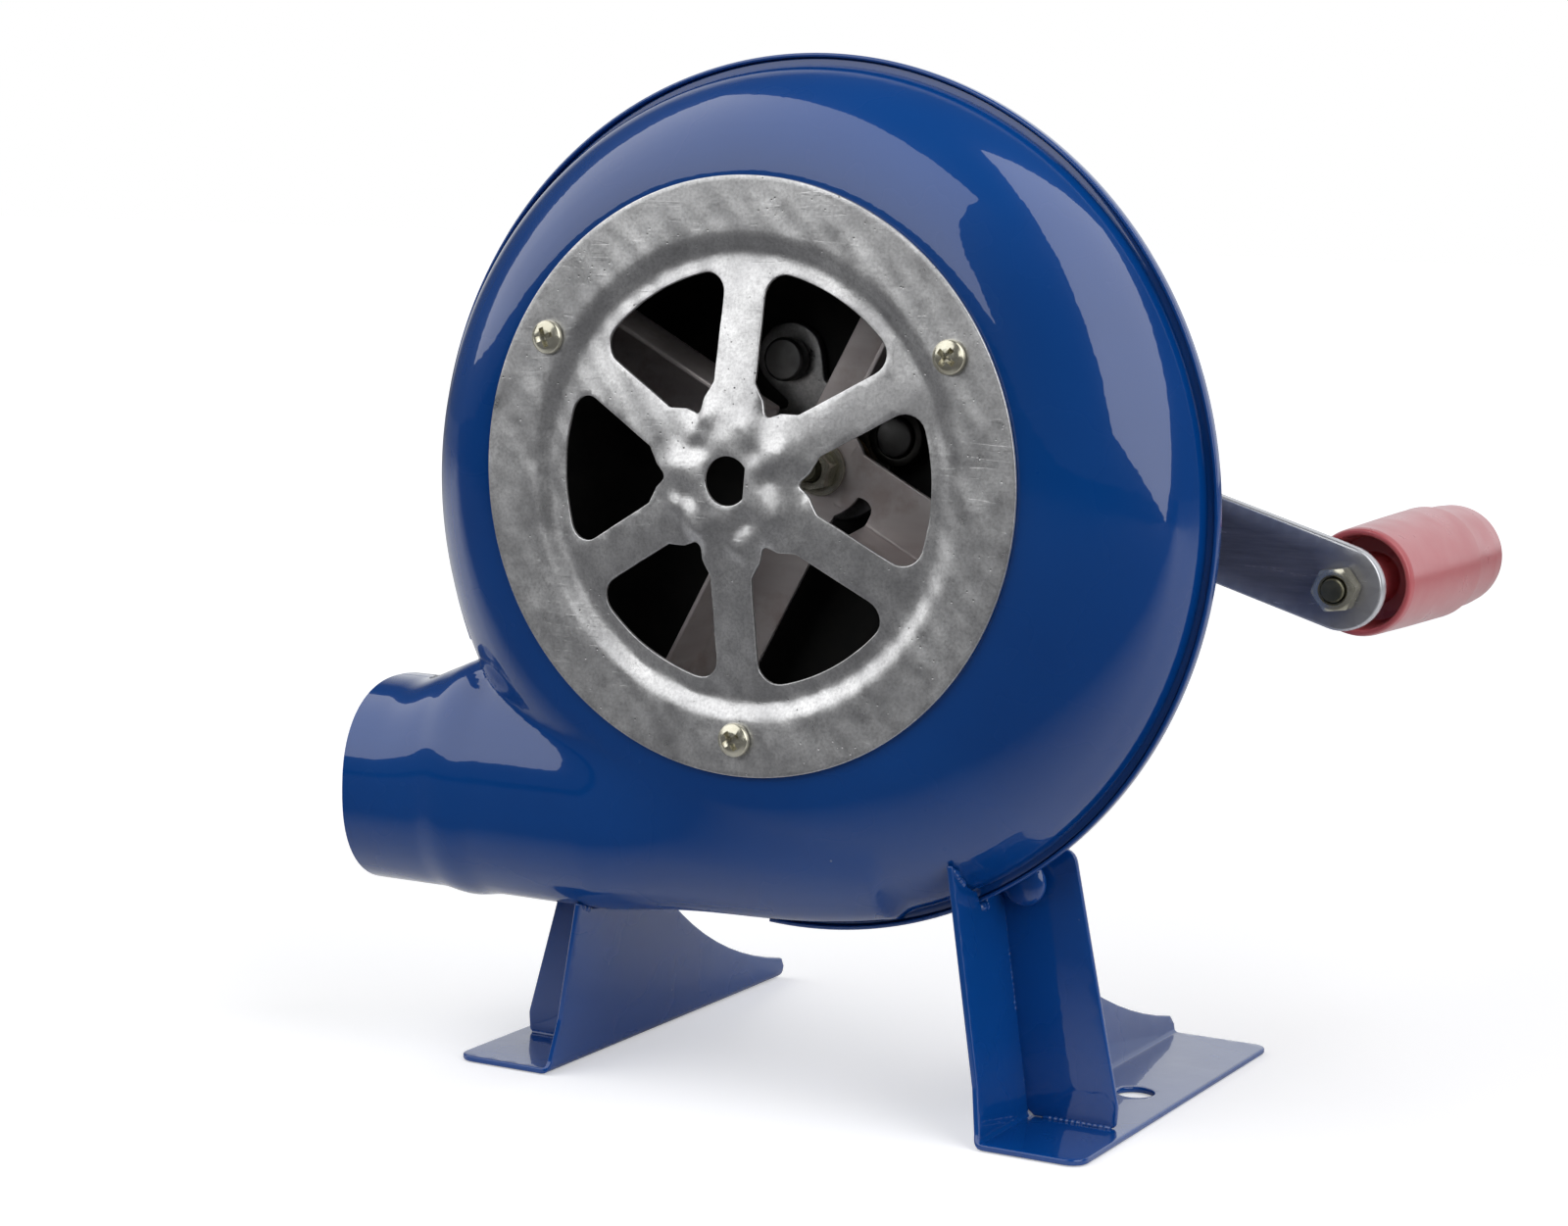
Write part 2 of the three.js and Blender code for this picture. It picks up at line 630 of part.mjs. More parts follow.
const machine = new THREE.Group();

function addPiece(name, solid, finish) {
  const [color, roughness, metalness] = finishes[finish];
  const material = new THREE.MeshStandardMaterial({ color, roughness, metalness });
  const mesh = new THREE.Mesh(toGeometry(solid), material);
  mesh.name = name;
  machine.add(mesh);
}

const envelope = join(
  bowl(FRONT_FACE, -GAP, GAP),
  bowl(BACK_FACE, -GAP, GAP),
  duct(-GAP, GAP),
  rimBand(-SHEET, FLANGE_WIDTH + LIP + 2 * GAP, SEAM - 2.4, SEAM + 1.5),
);
addPiece('front_housing', frontHousing(), 'bluePaint');
addPiece('rear_housing', rearHousing(), 'bluePaint');
addPiece('left_foot', foot(-1, envelope, -105), 'bluePaint');
addPiece('right_foot', foot(1, envelope, -88), 'bluePaint');

addPiece('inlet_grille', inletGrille(), 'galvanised');
grilleScrewCentres().forEach((centre, k) => {
  addPiece(`grille_screw_${k + 1}`, panScrew(centre, -GAP, -1, 4.2, 1.9, 7), 'zincPlated');
});

addPiece('bearing_bracket', bearingBracket(), 'galvanised');
bracketRivetCentres().forEach((centre, k) => {
  addPiece(`bracket_rivet_${k + 1}`, bracketRivet(centre), 'brightSteel');
});
addPiece('fan_bush', flangedBush(
  FAN_SHAFT_RADIUS + GAP, 7, 9, BRACKET_FRONT - 3, BRACKET_FRONT - GAP, BACK_FACE + 2.5, [0, 0],
), 'bronze');
addPiece('crank_front_bush', flangedBush(
  CRANK_SHAFT_RADIUS + GAP, 7.5, 7.5, BACK_FACE - 6, BACK_FACE - 5, BACK_FACE + 5, CRANK,
), 'bronze');
addPiece('idler_pin', idlerPin(), 'brightSteel');

addPiece('fan_shaft', fanShaft(), 'brightSteel');
addPiece('fan_wheel', fanWheel(), 'galvanised');
addPiece('fan_washer', tube(7, FAN_THREAD_RADIUS + GAP, WHEEL_Y - 1.3, WHEEL_Y - GAP, [0, 0], 24), 'zincPlated');
addPiece('fan_nut', nut(10, FAN_THREAD_RADIUS, WHEEL_Y - 6.6, WHEEL_Y - 1.6, [0, 0]), 'zincPlated');
addPiece('fan_pinion', gearWheel(
  PINION_TEETH, FAN_SHAFT_RADIUS + GAP, FAN_GEAR_Y - 0.5, FAN_GEAR_Y + GEAR_FACE + 0.5, [0, 0],
  meshTurn(IDLER_DIRECTION + 180, PINION_TEETH),
), 'brightSteel');

addPiece('idler_gear', gearWheel(
  IDLER_TEETH, 3 + GAP, FAN_GEAR_Y, FAN_GEAR_Y + GEAR_FACE, IDLER, IDLER_DIRECTION + 180,
), 'brightSteel');
addPiece('idler_pinion', gearWheel(
  PINION_TEETH, 3 + GAP, FAN_GEAR_Y + GEAR_FACE + GAP, CRANK_GEAR_Y + GEAR_FACE + 0.5, IDLER, CRANK_DIRECTION,
), 'brightSteel');

addPiece('crank_shaft', crankShaft(), 'brightSteel');
addPiece('crank_gear', gearWheel(
  CRANK_TEETH, CRANK_SHAFT_RADIUS + GAP, CRANK_GEAR_Y, CRANK_GEAR_Y + GEAR_FACE, CRANK,
  meshTurn(CRANK_DIRECTION, CRANK_TEETH),
), 'brightSteel');
addPiece('crank_arm', crankArm(), 'darkChrome');
addPiece('crank_washer', tube(
  9, 4 + GAP, ARM_Y + ARM_THICKNESS + GAP, ARM_Y + ARM_THICKNESS + 1.6, CRANK, 24,
), 'zincPlated');
addPiece('crank_nut', nut(13, 4, ARM_Y + ARM_THICKNESS + 1.9, ARM_Y + ARM_THICKNESS + 8.2, CRANK), 'zincPlated');

addPiece('grip_bolt', gripBolt(), 'zincPlated');
addPiece('grip_nut', nut(10, GRIP_BOLT_RADIUS, ARM_Y - 5.3, ARM_Y - GAP, GRIP), 'zincPlated');
addPiece('grip_lock_nut', nut(
  10, GRIP_BOLT_RADIUS, ARM_Y + ARM_THICKNESS + GAP, ARM_Y + ARM_THICKNESS + 5.3, GRIP,
), 'zincPlated');
addPiece('grip_spacer', tube(
  5, GRIP_BOLT_RADIUS + GAP, ARM_Y + ARM_THICKNESS + 5.6, GRIP_START + 0.7, GRIP,
), 'zincPlated');
addPiece('hand_grip', handGrip(), 'redPlastic');

addPiece('gear_cover', gearCover(), 'bluePaint');
coverScrewCentres().forEach((centre, k) => {
  addPiece(`cover_screw_${k + 1}`, panScrew(centre, BACK_FACE + GAP + SHEET + GAP, 1, 3.4, 1.6, 8), 'zincPlated');
});
addPiece('crank_rear_bush', tube(7.5, CRANK_SHAFT_RADIUS + GAP, COVER_BACK - 3, ARM_Y - 0.6, CRANK, 24), 'bronze');

machine.position.set(-(OUTLET_END + GRIP_X + GRIP_RADIUS) / 2, -(GRIP_END + GRILLE_HUB_FRONT) / 2, AXIS_HEIGHT);

export default machine;
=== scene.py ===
import math
import bmesh
import bpy
import numpy as np
from mathutils import Matrix, Vector
from mathutils.geometry import delaunay_2d_cdt


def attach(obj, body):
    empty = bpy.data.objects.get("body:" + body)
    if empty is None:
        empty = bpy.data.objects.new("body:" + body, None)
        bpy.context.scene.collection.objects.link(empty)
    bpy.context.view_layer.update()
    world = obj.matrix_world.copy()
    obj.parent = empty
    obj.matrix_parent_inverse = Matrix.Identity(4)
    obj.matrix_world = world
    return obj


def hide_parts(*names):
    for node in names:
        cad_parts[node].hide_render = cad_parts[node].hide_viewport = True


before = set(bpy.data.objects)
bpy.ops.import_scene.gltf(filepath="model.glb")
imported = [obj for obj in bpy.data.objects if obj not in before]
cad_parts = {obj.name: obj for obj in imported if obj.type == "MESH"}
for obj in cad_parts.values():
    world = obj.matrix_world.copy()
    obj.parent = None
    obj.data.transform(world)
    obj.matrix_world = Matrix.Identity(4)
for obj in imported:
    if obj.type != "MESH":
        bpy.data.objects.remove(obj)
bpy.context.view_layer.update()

# Shapes are drawn in millimetres from the centre of the inlet grille: X right, Y back, Z up.
GRILLE_CENTRE = np.array([-10.8, -82.5, 157.0])
FLOOR = -157.0

# Axes along Y, as (x, z).
FAN = (0, 0)
IDLER = (-15.0, 25.981)
CRANK = (16.177, 7.981)
GRIP = (124.0, -24.0)
COVER = (3.5, 14.0)


# ---- small geometry helpers ----
def polar(radius, degrees, centre=(0, 0)):
    turn = np.radians(degrees)
    return centre[0] + radius * np.cos(turn), centre[1] + radius * np.sin(turn)


def rotated(u, v, degrees):
    c, s = polar(1, degrees)
    return u * c - v * s, u * s + v * c


def fillet(corners, closed=True, steps=5):
    """Corners are (a, b) or (a, b, radius); each one with a radius becomes an arc."""
    given = [(c[0], c[1], c[2] if len(c) > 2 else 0.0) for c in corners]
    out = []
    for k, (a, b, radius) in enumerate(given):
        inner = closed or 0 < k < len(given) - 1
        if radius <= 0 or not inner:
            out.append((a, b))
            continue
        here = np.array([a, b])
        before = np.array(given[k - 1][:2]) - here
        after = np.array(given[(k + 1) % len(given)][:2]) - here
        size_before, size_after = np.linalg.norm(before), np.linalg.norm(after)
        before, after = before / size_before, after / size_after
        half = math.acos(float(np.clip(before @ after, -1, 1))) / 2
        if half > 1.55:
            out.append((a, b))
            continue
        reach = min(radius / math.tan(half), 0.49 * size_before, 0.49 * size_after)
        real = reach * math.tan(half)
        middle = here + (before + after) / np.linalg.norm(before + after) * (real / math.sin(half))
        start, end = here + before * reach - middle, here + after * reach - middle
        first = math.atan2(start[1], start[0])
        sweep = (math.atan2(end[1], end[0]) - first + math.pi) % (2 * math.pi) - math.pi
        for s in range(steps + 1):
            angle = first + sweep * s / steps
            out.append((middle[0] + real * math.cos(angle), middle[1] + real * math.sin(angle)))
    return np.array(out)


def resample(ring, spacing):
    """A closed ring with no side longer than spacing."""
    out = []
    for k in range(len(ring)):
        a, b = ring[k], ring[(k + 1) % len(ring)]
        count = max(1, int(math.ceil(np.linalg.norm(b - a) / spacing)))
        out.extend(a + (b - a) * s / count for s in range(count))
    return np.array(out)


def signed_area(ring):
    x, y = ring[:, 0], ring[:, 1]
    return 0.5 * float(np.sum(x * np.roll(y, -1) - np.roll(x, -1) * y))


def circle(radius, centre=(0, 0), count=48, phase=0.0):
    return np.stack(polar(radius, phase + 360.0 * np.arange(count) / count, centre), 1)


def merge(*shapes):
    points, faces, base = [], [], 0
    for p, f in shapes:
        points.append(np.asarray(p, float))
        faces.extend([[i + base for i in face] for face in f])
        base += len(p)
    return np.concatenate(points), faces


def grid_faces(rows, columns, wrap_rows=False, wrap_columns=False):
    faces = []
    for i in range(rows if wrap_rows else rows - 1):
        for j in range(columns if wrap_columns else columns - 1):
            a, b = i * columns + j, i * columns + (j + 1) % columns
            c, d = ((i + 1) % rows) * columns + (j + 1) % columns, ((i + 1) % rows) * columns + j
            faces.append([a, b, c, d])
    return faces


def close_ends(faces, first, last, top, count):
    """Joins the first and the last ring of a tube to the points first and last."""
    for j in range(count):
        after = (j + 1) % count
        faces.append([first, after, j])
        faces.append([last, top + j, top + after])


def around(radius, y, turn, centre):
    """Points about an axis along Y. The sizes and angles may be arrays that fit together."""
    radius, y, turn = np.broadcast_arrays(radius, y, turn)
    points = np.stack([radius * np.cos(turn) + centre[0], y, radius * np.sin(turn) + centre[1]], -1)
    return points.reshape(-1, 3)


def lathe(profile, segments=48, centre=(0, 0)):
    """A closed solid of revolution about an axis along Y. The profile lists (radius, y)."""
    profile = np.asarray(profile, float)
    solid = profile[0, 0] < 1e-6 and profile[-1, 0] < 1e-6
    body = profile[1:-1] if solid else profile
    points = around(body[:, :1], body[:, 1:], 2 * np.pi * np.arange(segments) / segments, centre)
    faces = grid_faces(len(body), segments, wrap_rows=not solid, wrap_columns=True)
    if solid:
        ends = [[centre[0], profile[0, 1], centre[1]], [centre[0], profile[-1, 1], centre[1]]]
        close_ends(faces, len(points), len(points) + 1, (len(body) - 1) * segments, segments)
        points = np.concatenate([points, ends])
    return points, faces


def turning(profile, segments=48, centre=(0, 0), steps=3):
    """A turned part with rounded corners. A profile that starts on the axis is a solid one."""
    return lathe(fillet(profile, closed=profile[0][0] > 0, steps=steps), segments, centre)


def rod(radius, front, back, centre=(0, 0), segments=48):
    return lathe([(0, front), (radius, front), (radius, back), (0, back)], segments, centre)


def tube(path, radii, sides):
    """A closed round cord along a path of points."""
    along = np.gradient(path, axis=0)
    along /= np.linalg.norm(along, axis=1, keepdims=True)
    slanted = np.array([0.31, 0.82, 0.47])
    side = np.cross(along, slanted)
    side /= np.linalg.norm(side, axis=1, keepdims=True)
    other = np.cross(along, side)
    turn = 2 * np.pi * np.arange(sides) / sides
    rings = path[:, None] + radii[:, None, None] * (
        side[:, None] * np.cos(turn)[None, :, None] + other[:, None] * np.sin(turn)[None, :, None])
    points = np.concatenate([rings.reshape(-1, 3), path[:1], path[-1:]])
    faces = grid_faces(len(path), sides, wrap_columns=True)
    close_ends(faces, len(points) - 2, len(points) - 1, (len(path) - 1) * sides, sides)
    return points, faces


def sweep_arc(profile, start, end, centre, segments):
    """A closed profile of (radius, y) swept round an axis along Y between two angles."""
    profile = np.asarray(profile, float)
    turn = np.radians(np.linspace(start, end, segments + 1))
    count = len(profile)
    faces = grid_faces(len(turn), count, wrap_columns=True)
    faces.append(list(range(count)))
    faces.append([len(turn) * count - 1 - j for j in range(count)])
    return around(profile[:, 0], profile[:, 1], turn[:, None], centre), faces


def inside(points, ring):
    x, y = points[:, 0], points[:, 1]
    crossings = np.zeros(len(points), bool)
    for (ax, ay), (bx, by) in zip(ring, np.roll(ring, -1, 0)):
        if ay != by:
            hit = (ay > y) != (by > y)
            crossings ^= hit & (x < (bx - ax) * (y - ay) / (by - ay) + ax)
    return crossings


def clearance(points, ring):
    """Distance from each point to the nearest side of a ring."""
    best = np.full(len(points), 1e9)
    for a, b in zip(ring, np.roll(ring, -1, 0)):
        d = b - a
        t = np.clip(((points - a) @ d) / max(float(d @ d), 1e-12), 0, 1)
        best = np.minimum(best, np.linalg.norm(points - (a + t[:, None] * d), axis=1))
    return best


def fill_rings(rings, points):
    """Triangles over the area inside the first ring and outside the others."""
    verts = np.concatenate(rings + [points])
    edges, at = [], 0
    for ring in rings:
        edges += [(at + j, at + (j + 1) % len(ring)) for j in range(len(ring))]
        at += len(ring)
    made, sides, triangles, origin, side_origin, _ = delaunay_2d_cdt(
        [tuple(map(float, p)) for p in verts], edges, [], 0, 1e-7, True)
    made = np.array([tuple(p) for p in made])
    fixed = {(min(side), max(side)) for side, source in zip(sides, side_origin) if source}
    region = list(range(len(triangles)))

    def root(k):
        while region[k] != k:
            region[k] = region[region[k]]
            k = region[k]
        return k

    owner = {}
    for k, triangle in enumerate(triangles):
        for a, b in zip(triangle, [*triangle[1:], triangle[0]]):
            side = (min(a, b), max(a, b))
            if side not in fixed:
                region[root(k)] = root(owner.get(side, k))
                owner[side] = k
    corners = made[np.array([list(t) for t in triangles])]
    first, second = corners[:, 1] - corners[:, 0], corners[:, 2] - corners[:, 0]
    size = np.abs(first[:, 0] * second[:, 1] - first[:, 1] * second[:, 0])
    roots = np.array([root(k) for k in range(len(triangles))])
    middles = corners.mean(1)
    good = inside(middles, rings[0])
    for ring in rings[1:]:
        good &= ~inside(middles, ring)
    # The largest region is the sheet. Any others are slivers along nearly straight outlines.
    kept = max(set(roots[good].tolist()), key=lambda r: size[roots == r].sum())
    nearest = [ids[0] if ids else int(np.argmin(np.sum((verts - p) ** 2, 1)))
               for ids, p in zip(origin, made)]
    chosen = [[nearest[i] for i in t] for t, r in zip(triangles, roots.tolist()) if r == kept]
    return [ids for ids in chosen if len(set(ids)) == 3]


def dotted_rows(start, stop, rows, spacing=3.0, offset=1.5):
    """Points along rows of constant v. Every second row starts further along."""
    lines = []
    for k, v in enumerate(rows):
        u = np.arange(start + (k % 2) * offset, stop, spacing)
        lines.append(np.stack([u, np.full(len(u), v)], 1))
    return np.concatenate(lines)


HEX_ROW = 0.866  # row distance over point distance in a triangular grid
MITER_LIMIT = 0.4


def inward_miter(ring):
    """For each corner, the step that moves both of its sides inwards by one."""
    before, after = ring - np.roll(ring, 1, 0), np.roll(ring, -1, 0) - ring
    n1 = np.stack([-before[:, 1], before[:, 0]], 1) / np.linalg.norm(before, axis=1)[:, None]
    n2 = np.stack([-after[:, 1], after[:, 0]], 1) / np.linalg.norm(after, axis=1)[:, None]
    return (n1 + n2) / np.maximum(1 + np.sum(n1 * n2, 1), MITER_LIMIT)[:, None]


def plate(outer, holes, thickness, place, edge=0.3, spacing=3.0, points=None, side=1.2):
    """A sheet with rounded edges. Rings are outlines in (u, v); place maps (u, v, depth)
    to millimetres, and may bend the sheet. depth runs from 0 to thickness."""
    rings = [resample(outer if signed_area(outer) > 0 else outer[::-1], side)]
    rings += [resample(h if signed_area(h) < 0 else h[::-1], side) for h in holes]
    layers = []
    for quarter in (0, 30, 60, 90):
        s, c = math.sin(math.radians(quarter)), math.cos(math.radians(quarter))
        layers.append((edge * (1 - s), edge * (1 - c)))
    layers += [(inset, thickness - depth) for inset, depth in reversed(layers)]
    flat, depths, faces, front_of, back_of, base = [], [], [], [], [], 0
    for ring in rings:
        miter, count = inward_miter(ring), len(ring)
        for inset, depth in layers:
            flat.append(ring + miter * inset)
            depths.append(np.full(count, depth))
        for face in grid_faces(len(layers), count, wrap_columns=True):
            faces.append([base + i for i in face])
        front_of += range(base, base + count)
        base += len(layers) * count
        back_of += range(base - count, base)
    if points is None:
        low, high = rings[0].min(0), rings[0].max(0)
        rows = np.arange(low[1], high[1], spacing * HEX_ROW)
        points = dotted_rows(low[0], high[0], rows, spacing, spacing / 2)
    margin = edge + 0.5 * side
    keep = inside(points, rings[0]) & (clearance(points, rings[0]) > margin)
    for ring in rings[1:]:
        keep &= ~inside(points, ring) & (clearance(points, ring) > margin)
    inner = points[keep]
    front_of += range(base, base + len(inner))
    back_of += range(base + len(inner), base + 2 * len(inner))
    flat += [inner, inner]
    depths += [np.zeros(len(inner)), np.full(len(inner), thickness)]
    for ids in fill_rings(rings, inner):
        faces.append([front_of[i] for i in ids])
        faces.append([back_of[i] for i in reversed(ids)])
    uv, w = np.concatenate(flat), np.concatenate(depths)
    return np.stack(place(uv[:, 0], uv[:, 1], w), 1), faces


def facing(centre=(0, 0), front=0.0, turn=0.0):
    """Places a plate in a plane of constant Y, with depth towards +Y."""
    def place(u, v, w):
        x, z = rotated(u, v, turn)
        return centre[0] + x, front + w, centre[1] + z
    return place


def hex_nut(flats, bore, front, back, centre, turn):
    """A nut with chamfered corners on both faces and a chamfered bore."""
    count = 72
    face_share, corner_chamfer = 0.955, 28
    turns = 360.0 * np.arange(count) / count
    reach = flats / 2 / np.cos(np.radians((turns - turn) % 60 - 30))
    face = flats / 2 * face_share
    drop = (reach - face) * math.tan(math.radians(corner_chamfer))
    rows = [
        (bore, front + 0.5), (bore + 0.45, front), (face - 0.15, front), (face, front + 0.05),
        (reach, front + drop), (reach, back - drop),
        (face, back - 0.05), (face - 0.15, back), (bore + 0.45, back), (bore, back - 0.5),
    ]
    points = np.concatenate([around(r, y, np.radians(turns), centre) for r, y in rows])
    return points, grid_faces(len(rows), count, wrap_rows=True, wrap_columns=True)


def threaded(radius, start, end, centre, pitch, core=0.86, segments=36):
    """A threaded rod end: a helical ridge on a core, closed at both ends."""
    rows_in_a_pitch = 6
    rows = int((end - start) / (pitch / rows_in_a_pitch))
    ys = np.linspace(start, end, rows)
    turn = 2 * np.pi * np.arange(segments) / segments
    phase = (ys[:, None] / pitch + turn[None] / (2 * np.pi)) % 1.0
    ridge = 1 - np.abs(2 * phase - 1)
    fade = np.clip(np.minimum(ys - start, end - ys) / pitch, 0, 1)[:, None]
    points = around(radius * (core + (1 - core) * ridge * fade), ys[:, None], turn, centre)
    points = np.concatenate([points, [[centre[0], start, centre[1]], [centre[0], end, centre[1]]]])
    faces = grid_faces(rows, segments, wrap_columns=True)
    close_ends(faces, len(points) - 2, len(points) - 1, (rows - 1) * segments, segments)
    return points, faces


# ---- objects ----
def add_object(name, data):
    piece = bpy.data.objects.new(name, data)
    bpy.context.scene.collection.objects.link(piece)
    return piece


def make_object(name, shape):
    points, faces = shape
    mesh = bpy.data.meshes.new(name)
    mesh.from_pydata(((np.asarray(points, float) + GRILLE_CENTRE) / 1000).tolist(), [], faces)
    work = bmesh.new()
    work.from_mesh(mesh)
    bmesh.ops.remove_doubles(work, verts=work.verts, dist=2e-7)
    bmesh.ops.recalc_face_normals(work, faces=work.faces)
    work.to_mesh(mesh)
    work.free()
    return add_object(name, mesh)


def apply_modifiers(piece):
    bpy.context.view_layer.update()
    ready = piece.evaluated_get(bpy.context.evaluated_depsgraph_get())
    mesh = bpy.data.meshes.new_from_object(ready)
    piece.modifiers.clear()
    piece.data = mesh


def boolean(piece, shape, operation):
    """Cuts or joins a closed shape into a piece, leaving one plain mesh."""
    other = make_object(piece.name + "_tool", shape)
    step = piece.modifiers.new("step", "BOOLEAN")
    step.operation = operation
    step.solver = "EXACT"
    step.object = other
    apply_modifiers(piece)
    bpy.data.objects.remove(other)


def finish_piece(piece, material, body, replaces=(), sharp=38.0, shaded_lining=None):
    """Gives a piece its look and its body, and hides the CAD nodes it replaces."""
    mesh = piece.data
    index = np.zeros(len(mesh.polygons), np.int32)
    if shaded_lining:
        mesh.polygons.foreach_get("material_index", index)
    mesh.materials.clear()
    for one in (material, shaded_lining) if shaded_lining else (material,):
        mesh.materials.append(one)
    mesh.polygons.foreach_set("material_index", index)
    mesh.shade_smooth()
    mesh.set_sharp_from_angle(angle=math.radians(sharp))
    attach(piece, body)
    if replaces:
        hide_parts(*replaces)


# ---- materials ----
class Tree:
    """Short calls for building the node tree of a material or the world."""

    def __init__(self, owner):
        owner.use_nodes = True
        self.tree = owner.node_tree
        self.tree.nodes.clear()

    def feed(self, socket, value):
        """Links a socket to another one, or sets it to a number, a vector or a colour."""
        if isinstance(value, bpy.types.NodeSocket):
            self.tree.links.new(value, socket)
        elif socket.type == "RGBA":
            socket.default_value = (*value, 1)
        else:
            socket.default_value = value

    def add(self, kind, inputs, **settings):
        """Adds a node and gives its outputs. inputs says what each of its sockets is fed."""
        node = self.tree.nodes.new("ShaderNode" + kind)
        for key, value in settings.items():
            setattr(node, key, value)
        for key, value in inputs.items():
            self.feed(node.inputs[key], value)
        return node.outputs

    def span(self, value, low=0.3, high=0.7, to_low=0.0, to_high=1.0):
        return self.add("MapRange", {
            "Value": value, "From Min": low, "From Max": high, "To Min": to_low, "To Max": to_high})[0]

    def seen_by_camera(self):
        return self.add("LightPath", {})["Is Camera Ray"]


class Nodes(Tree):
    """One material's node tree, in object space and metres."""

    def __init__(self, name):
        self.material = bpy.data.materials.new(name)
        super().__init__(self.material)
        self.shader = self.tree.nodes.new("ShaderNodeBsdfPrincipled")
        self.add("OutputMaterial", {0: self.shader.outputs[0]})
        self.place = self.add("TexCoord", {})["Object"]

    def set(self, **values):
        """Feeds the shader's own sockets, written with _ for each space in their names."""
        for key, value in values.items():
            self.feed(self.shader.inputs[key.replace("_", " ")], value)

    def stretch(self, scale, turn=(0, 0, 0)):
        return self.add("Mapping", {"Scale": scale, "Rotation": turn, "Vector": self.place})[0]

    def noise(self, scale, detail=2.0, rough=0.5, where=None):
        return self.add("TexNoise", {
            "Scale": scale, "Detail": detail, "Roughness": rough, "Vector": where or self.place})["Fac"]

    def cells(self, scale, output="Distance"):
        return self.add("TexVoronoi", {"Scale": scale, "Vector": self.place})[output]

    def math(self, operation, a, b):
        return self.add("Math", {0: a, 1: b}, operation=operation)[0]

    def blend(self, factor, low, high):
        first_color, second_color = 6, 7
        return self.add("Mix", {0: factor, first_color: low, second_color: high}, data_type="RGBA")[2]

    def bump(self, height, strength, distance, under=None):
        inputs = {"Height": height, "Strength": strength, "Distance": distance}
        if under is not None:
            inputs["Normal"] = under
        return self.add("Bump", inputs)[0]

    def edges(self, low, high):
        """Bright on outer edges and dark in corners, from the Geometry node's pointiness."""
        return self.span(self.add("NewGeometry", {})["Pointiness"], low, high)


def enamel():
    """Thick gloss cobalt enamel: faint orange peel and sags, with a few pale dust nibs."""
    n = Nodes("cobalt_enamel")
    pool = n.span(n.noise(14, 3), 0.35, 0.7)
    tint = n.blend(pool, (0.0012, 0.052, 0.25), (0.002, 0.066, 0.30))
    nib = n.span(n.cells(95), 0.035, 0.012)
    sparse = n.span(n.noise(60, 1), 0.6, 0.66)
    specks = n.math("MULTIPLY", nib, sparse)
    n.set(Base_Color=n.blend(specks, tint, (0.30, 0.40, 0.62)))
    n.set(Roughness=n.span(n.noise(30, 3), 0.3, 0.75, 0.2, 0.34))
    n.set(Metallic=0.0, IOR=1.5, Specular_IOR_Level=0.12)
    n.set(Coat_Weight=1.0, Coat_Roughness=0.02, Coat_IOR=1.62)
    peel = n.bump(n.noise(260, 2, 0.55), 0.04, 0.0004)
    waves = n.bump(n.noise(120, 2, 0.5), 0.05, 0.0007, peel)
    sag = n.bump(n.noise(26, 1.5), 0.1, 0.0012, waves)
    surface = n.bump(specks, 0.6, 0.0005, sag)
    n.set(Normal=surface, Coat_Normal=surface)
    return n.material


def galvanised(name="galvanised_sheet", low=(0.55, 0.55, 0.56), high=(0.90, 0.90, 0.90)):
    """Hot-dip zinc sheet: fine spangle, cloudy mottling, pits and a few long scratches."""
    n = Nodes(name)
    cloud = n.noise(60, 5, 0.6)
    grain = n.noise(1300, 3, 0.65)
    spangle = n.cells(330, "Color")
    shade = n.blend(n.span(cloud), low, high)
    mottled = n.blend(n.span(grain, 0.38, 0.68, 0.0, 0.5), shade, tuple(0.62 * v for v in low))
    pits = n.math("MULTIPLY", n.span(n.cells(520), 0.16, 0.06), n.span(n.noise(110, 2), 0.52, 0.62))
    n.set(Base_Color=n.blend(n.math("MULTIPLY", pits, 0.75), mottled, (0.10, 0.10, 0.10)))
    wear = n.span(n.noise(160, 4), 0.3, 0.7, 0.25, 0.40)
    n.set(Roughness=n.math("ADD", wear, n.math("MULTIPLY", n.span(spangle, 0.0, 1.0), 0.07)))
    n.set(Metallic=0.85, Specular_IOR_Level=0.5)
    dents = n.bump(n.noise(150, 3, 0.5), 0.22, 0.0006)
    grains = n.bump(grain, 0.10, 0.0002, dents)
    scored = n.span(n.noise(18, 1, 0.5, where=n.stretch((34, 1, 2.2), (0.0, 0.75, 0.0))), 0.485, 0.5)
    crossed = n.span(n.noise(15, 1, 0.5, where=n.stretch((2.0, 1, 30), (0.0, -0.5, 0.0))), 0.515, 0.5)
    faint = n.math("MULTIPLY", n.math("MULTIPLY", scored, n.span(n.noise(40, 2), 0.45, 0.6)), crossed)
    lines = n.bump(faint, 0.12, 0.0002, grains)
    n.set(Normal=n.bump(pits, 0.4, -0.0003, lines))
    return n.material


def blade_steel():
    """Bare pressed steel with a faint pink oxide and soft rolling marks."""
    n = Nodes("blade_steel")
    drawn = n.noise(35, 3, 0.5, where=n.stretch((1, 1, 5), (0, 0.5, 0)))
    shade = n.blend(n.span(drawn), (0.78, 0.70, 0.69), (0.92, 0.86, 0.85))
    stain = n.span(n.noise(90, 5, 0.6), 0.54, 0.70, 0.0, 0.6)
    n.set(Base_Color=n.blend(stain, shade, (0.60, 0.48, 0.45)))
    n.set(Roughness=n.span(n.noise(200, 4), 0.2, 0.8, 0.30, 0.46))
    n.set(Metallic=0.3)
    n.set(Normal=n.bump(n.noise(160, 4), 0.1, 0.0004))
    return n.material


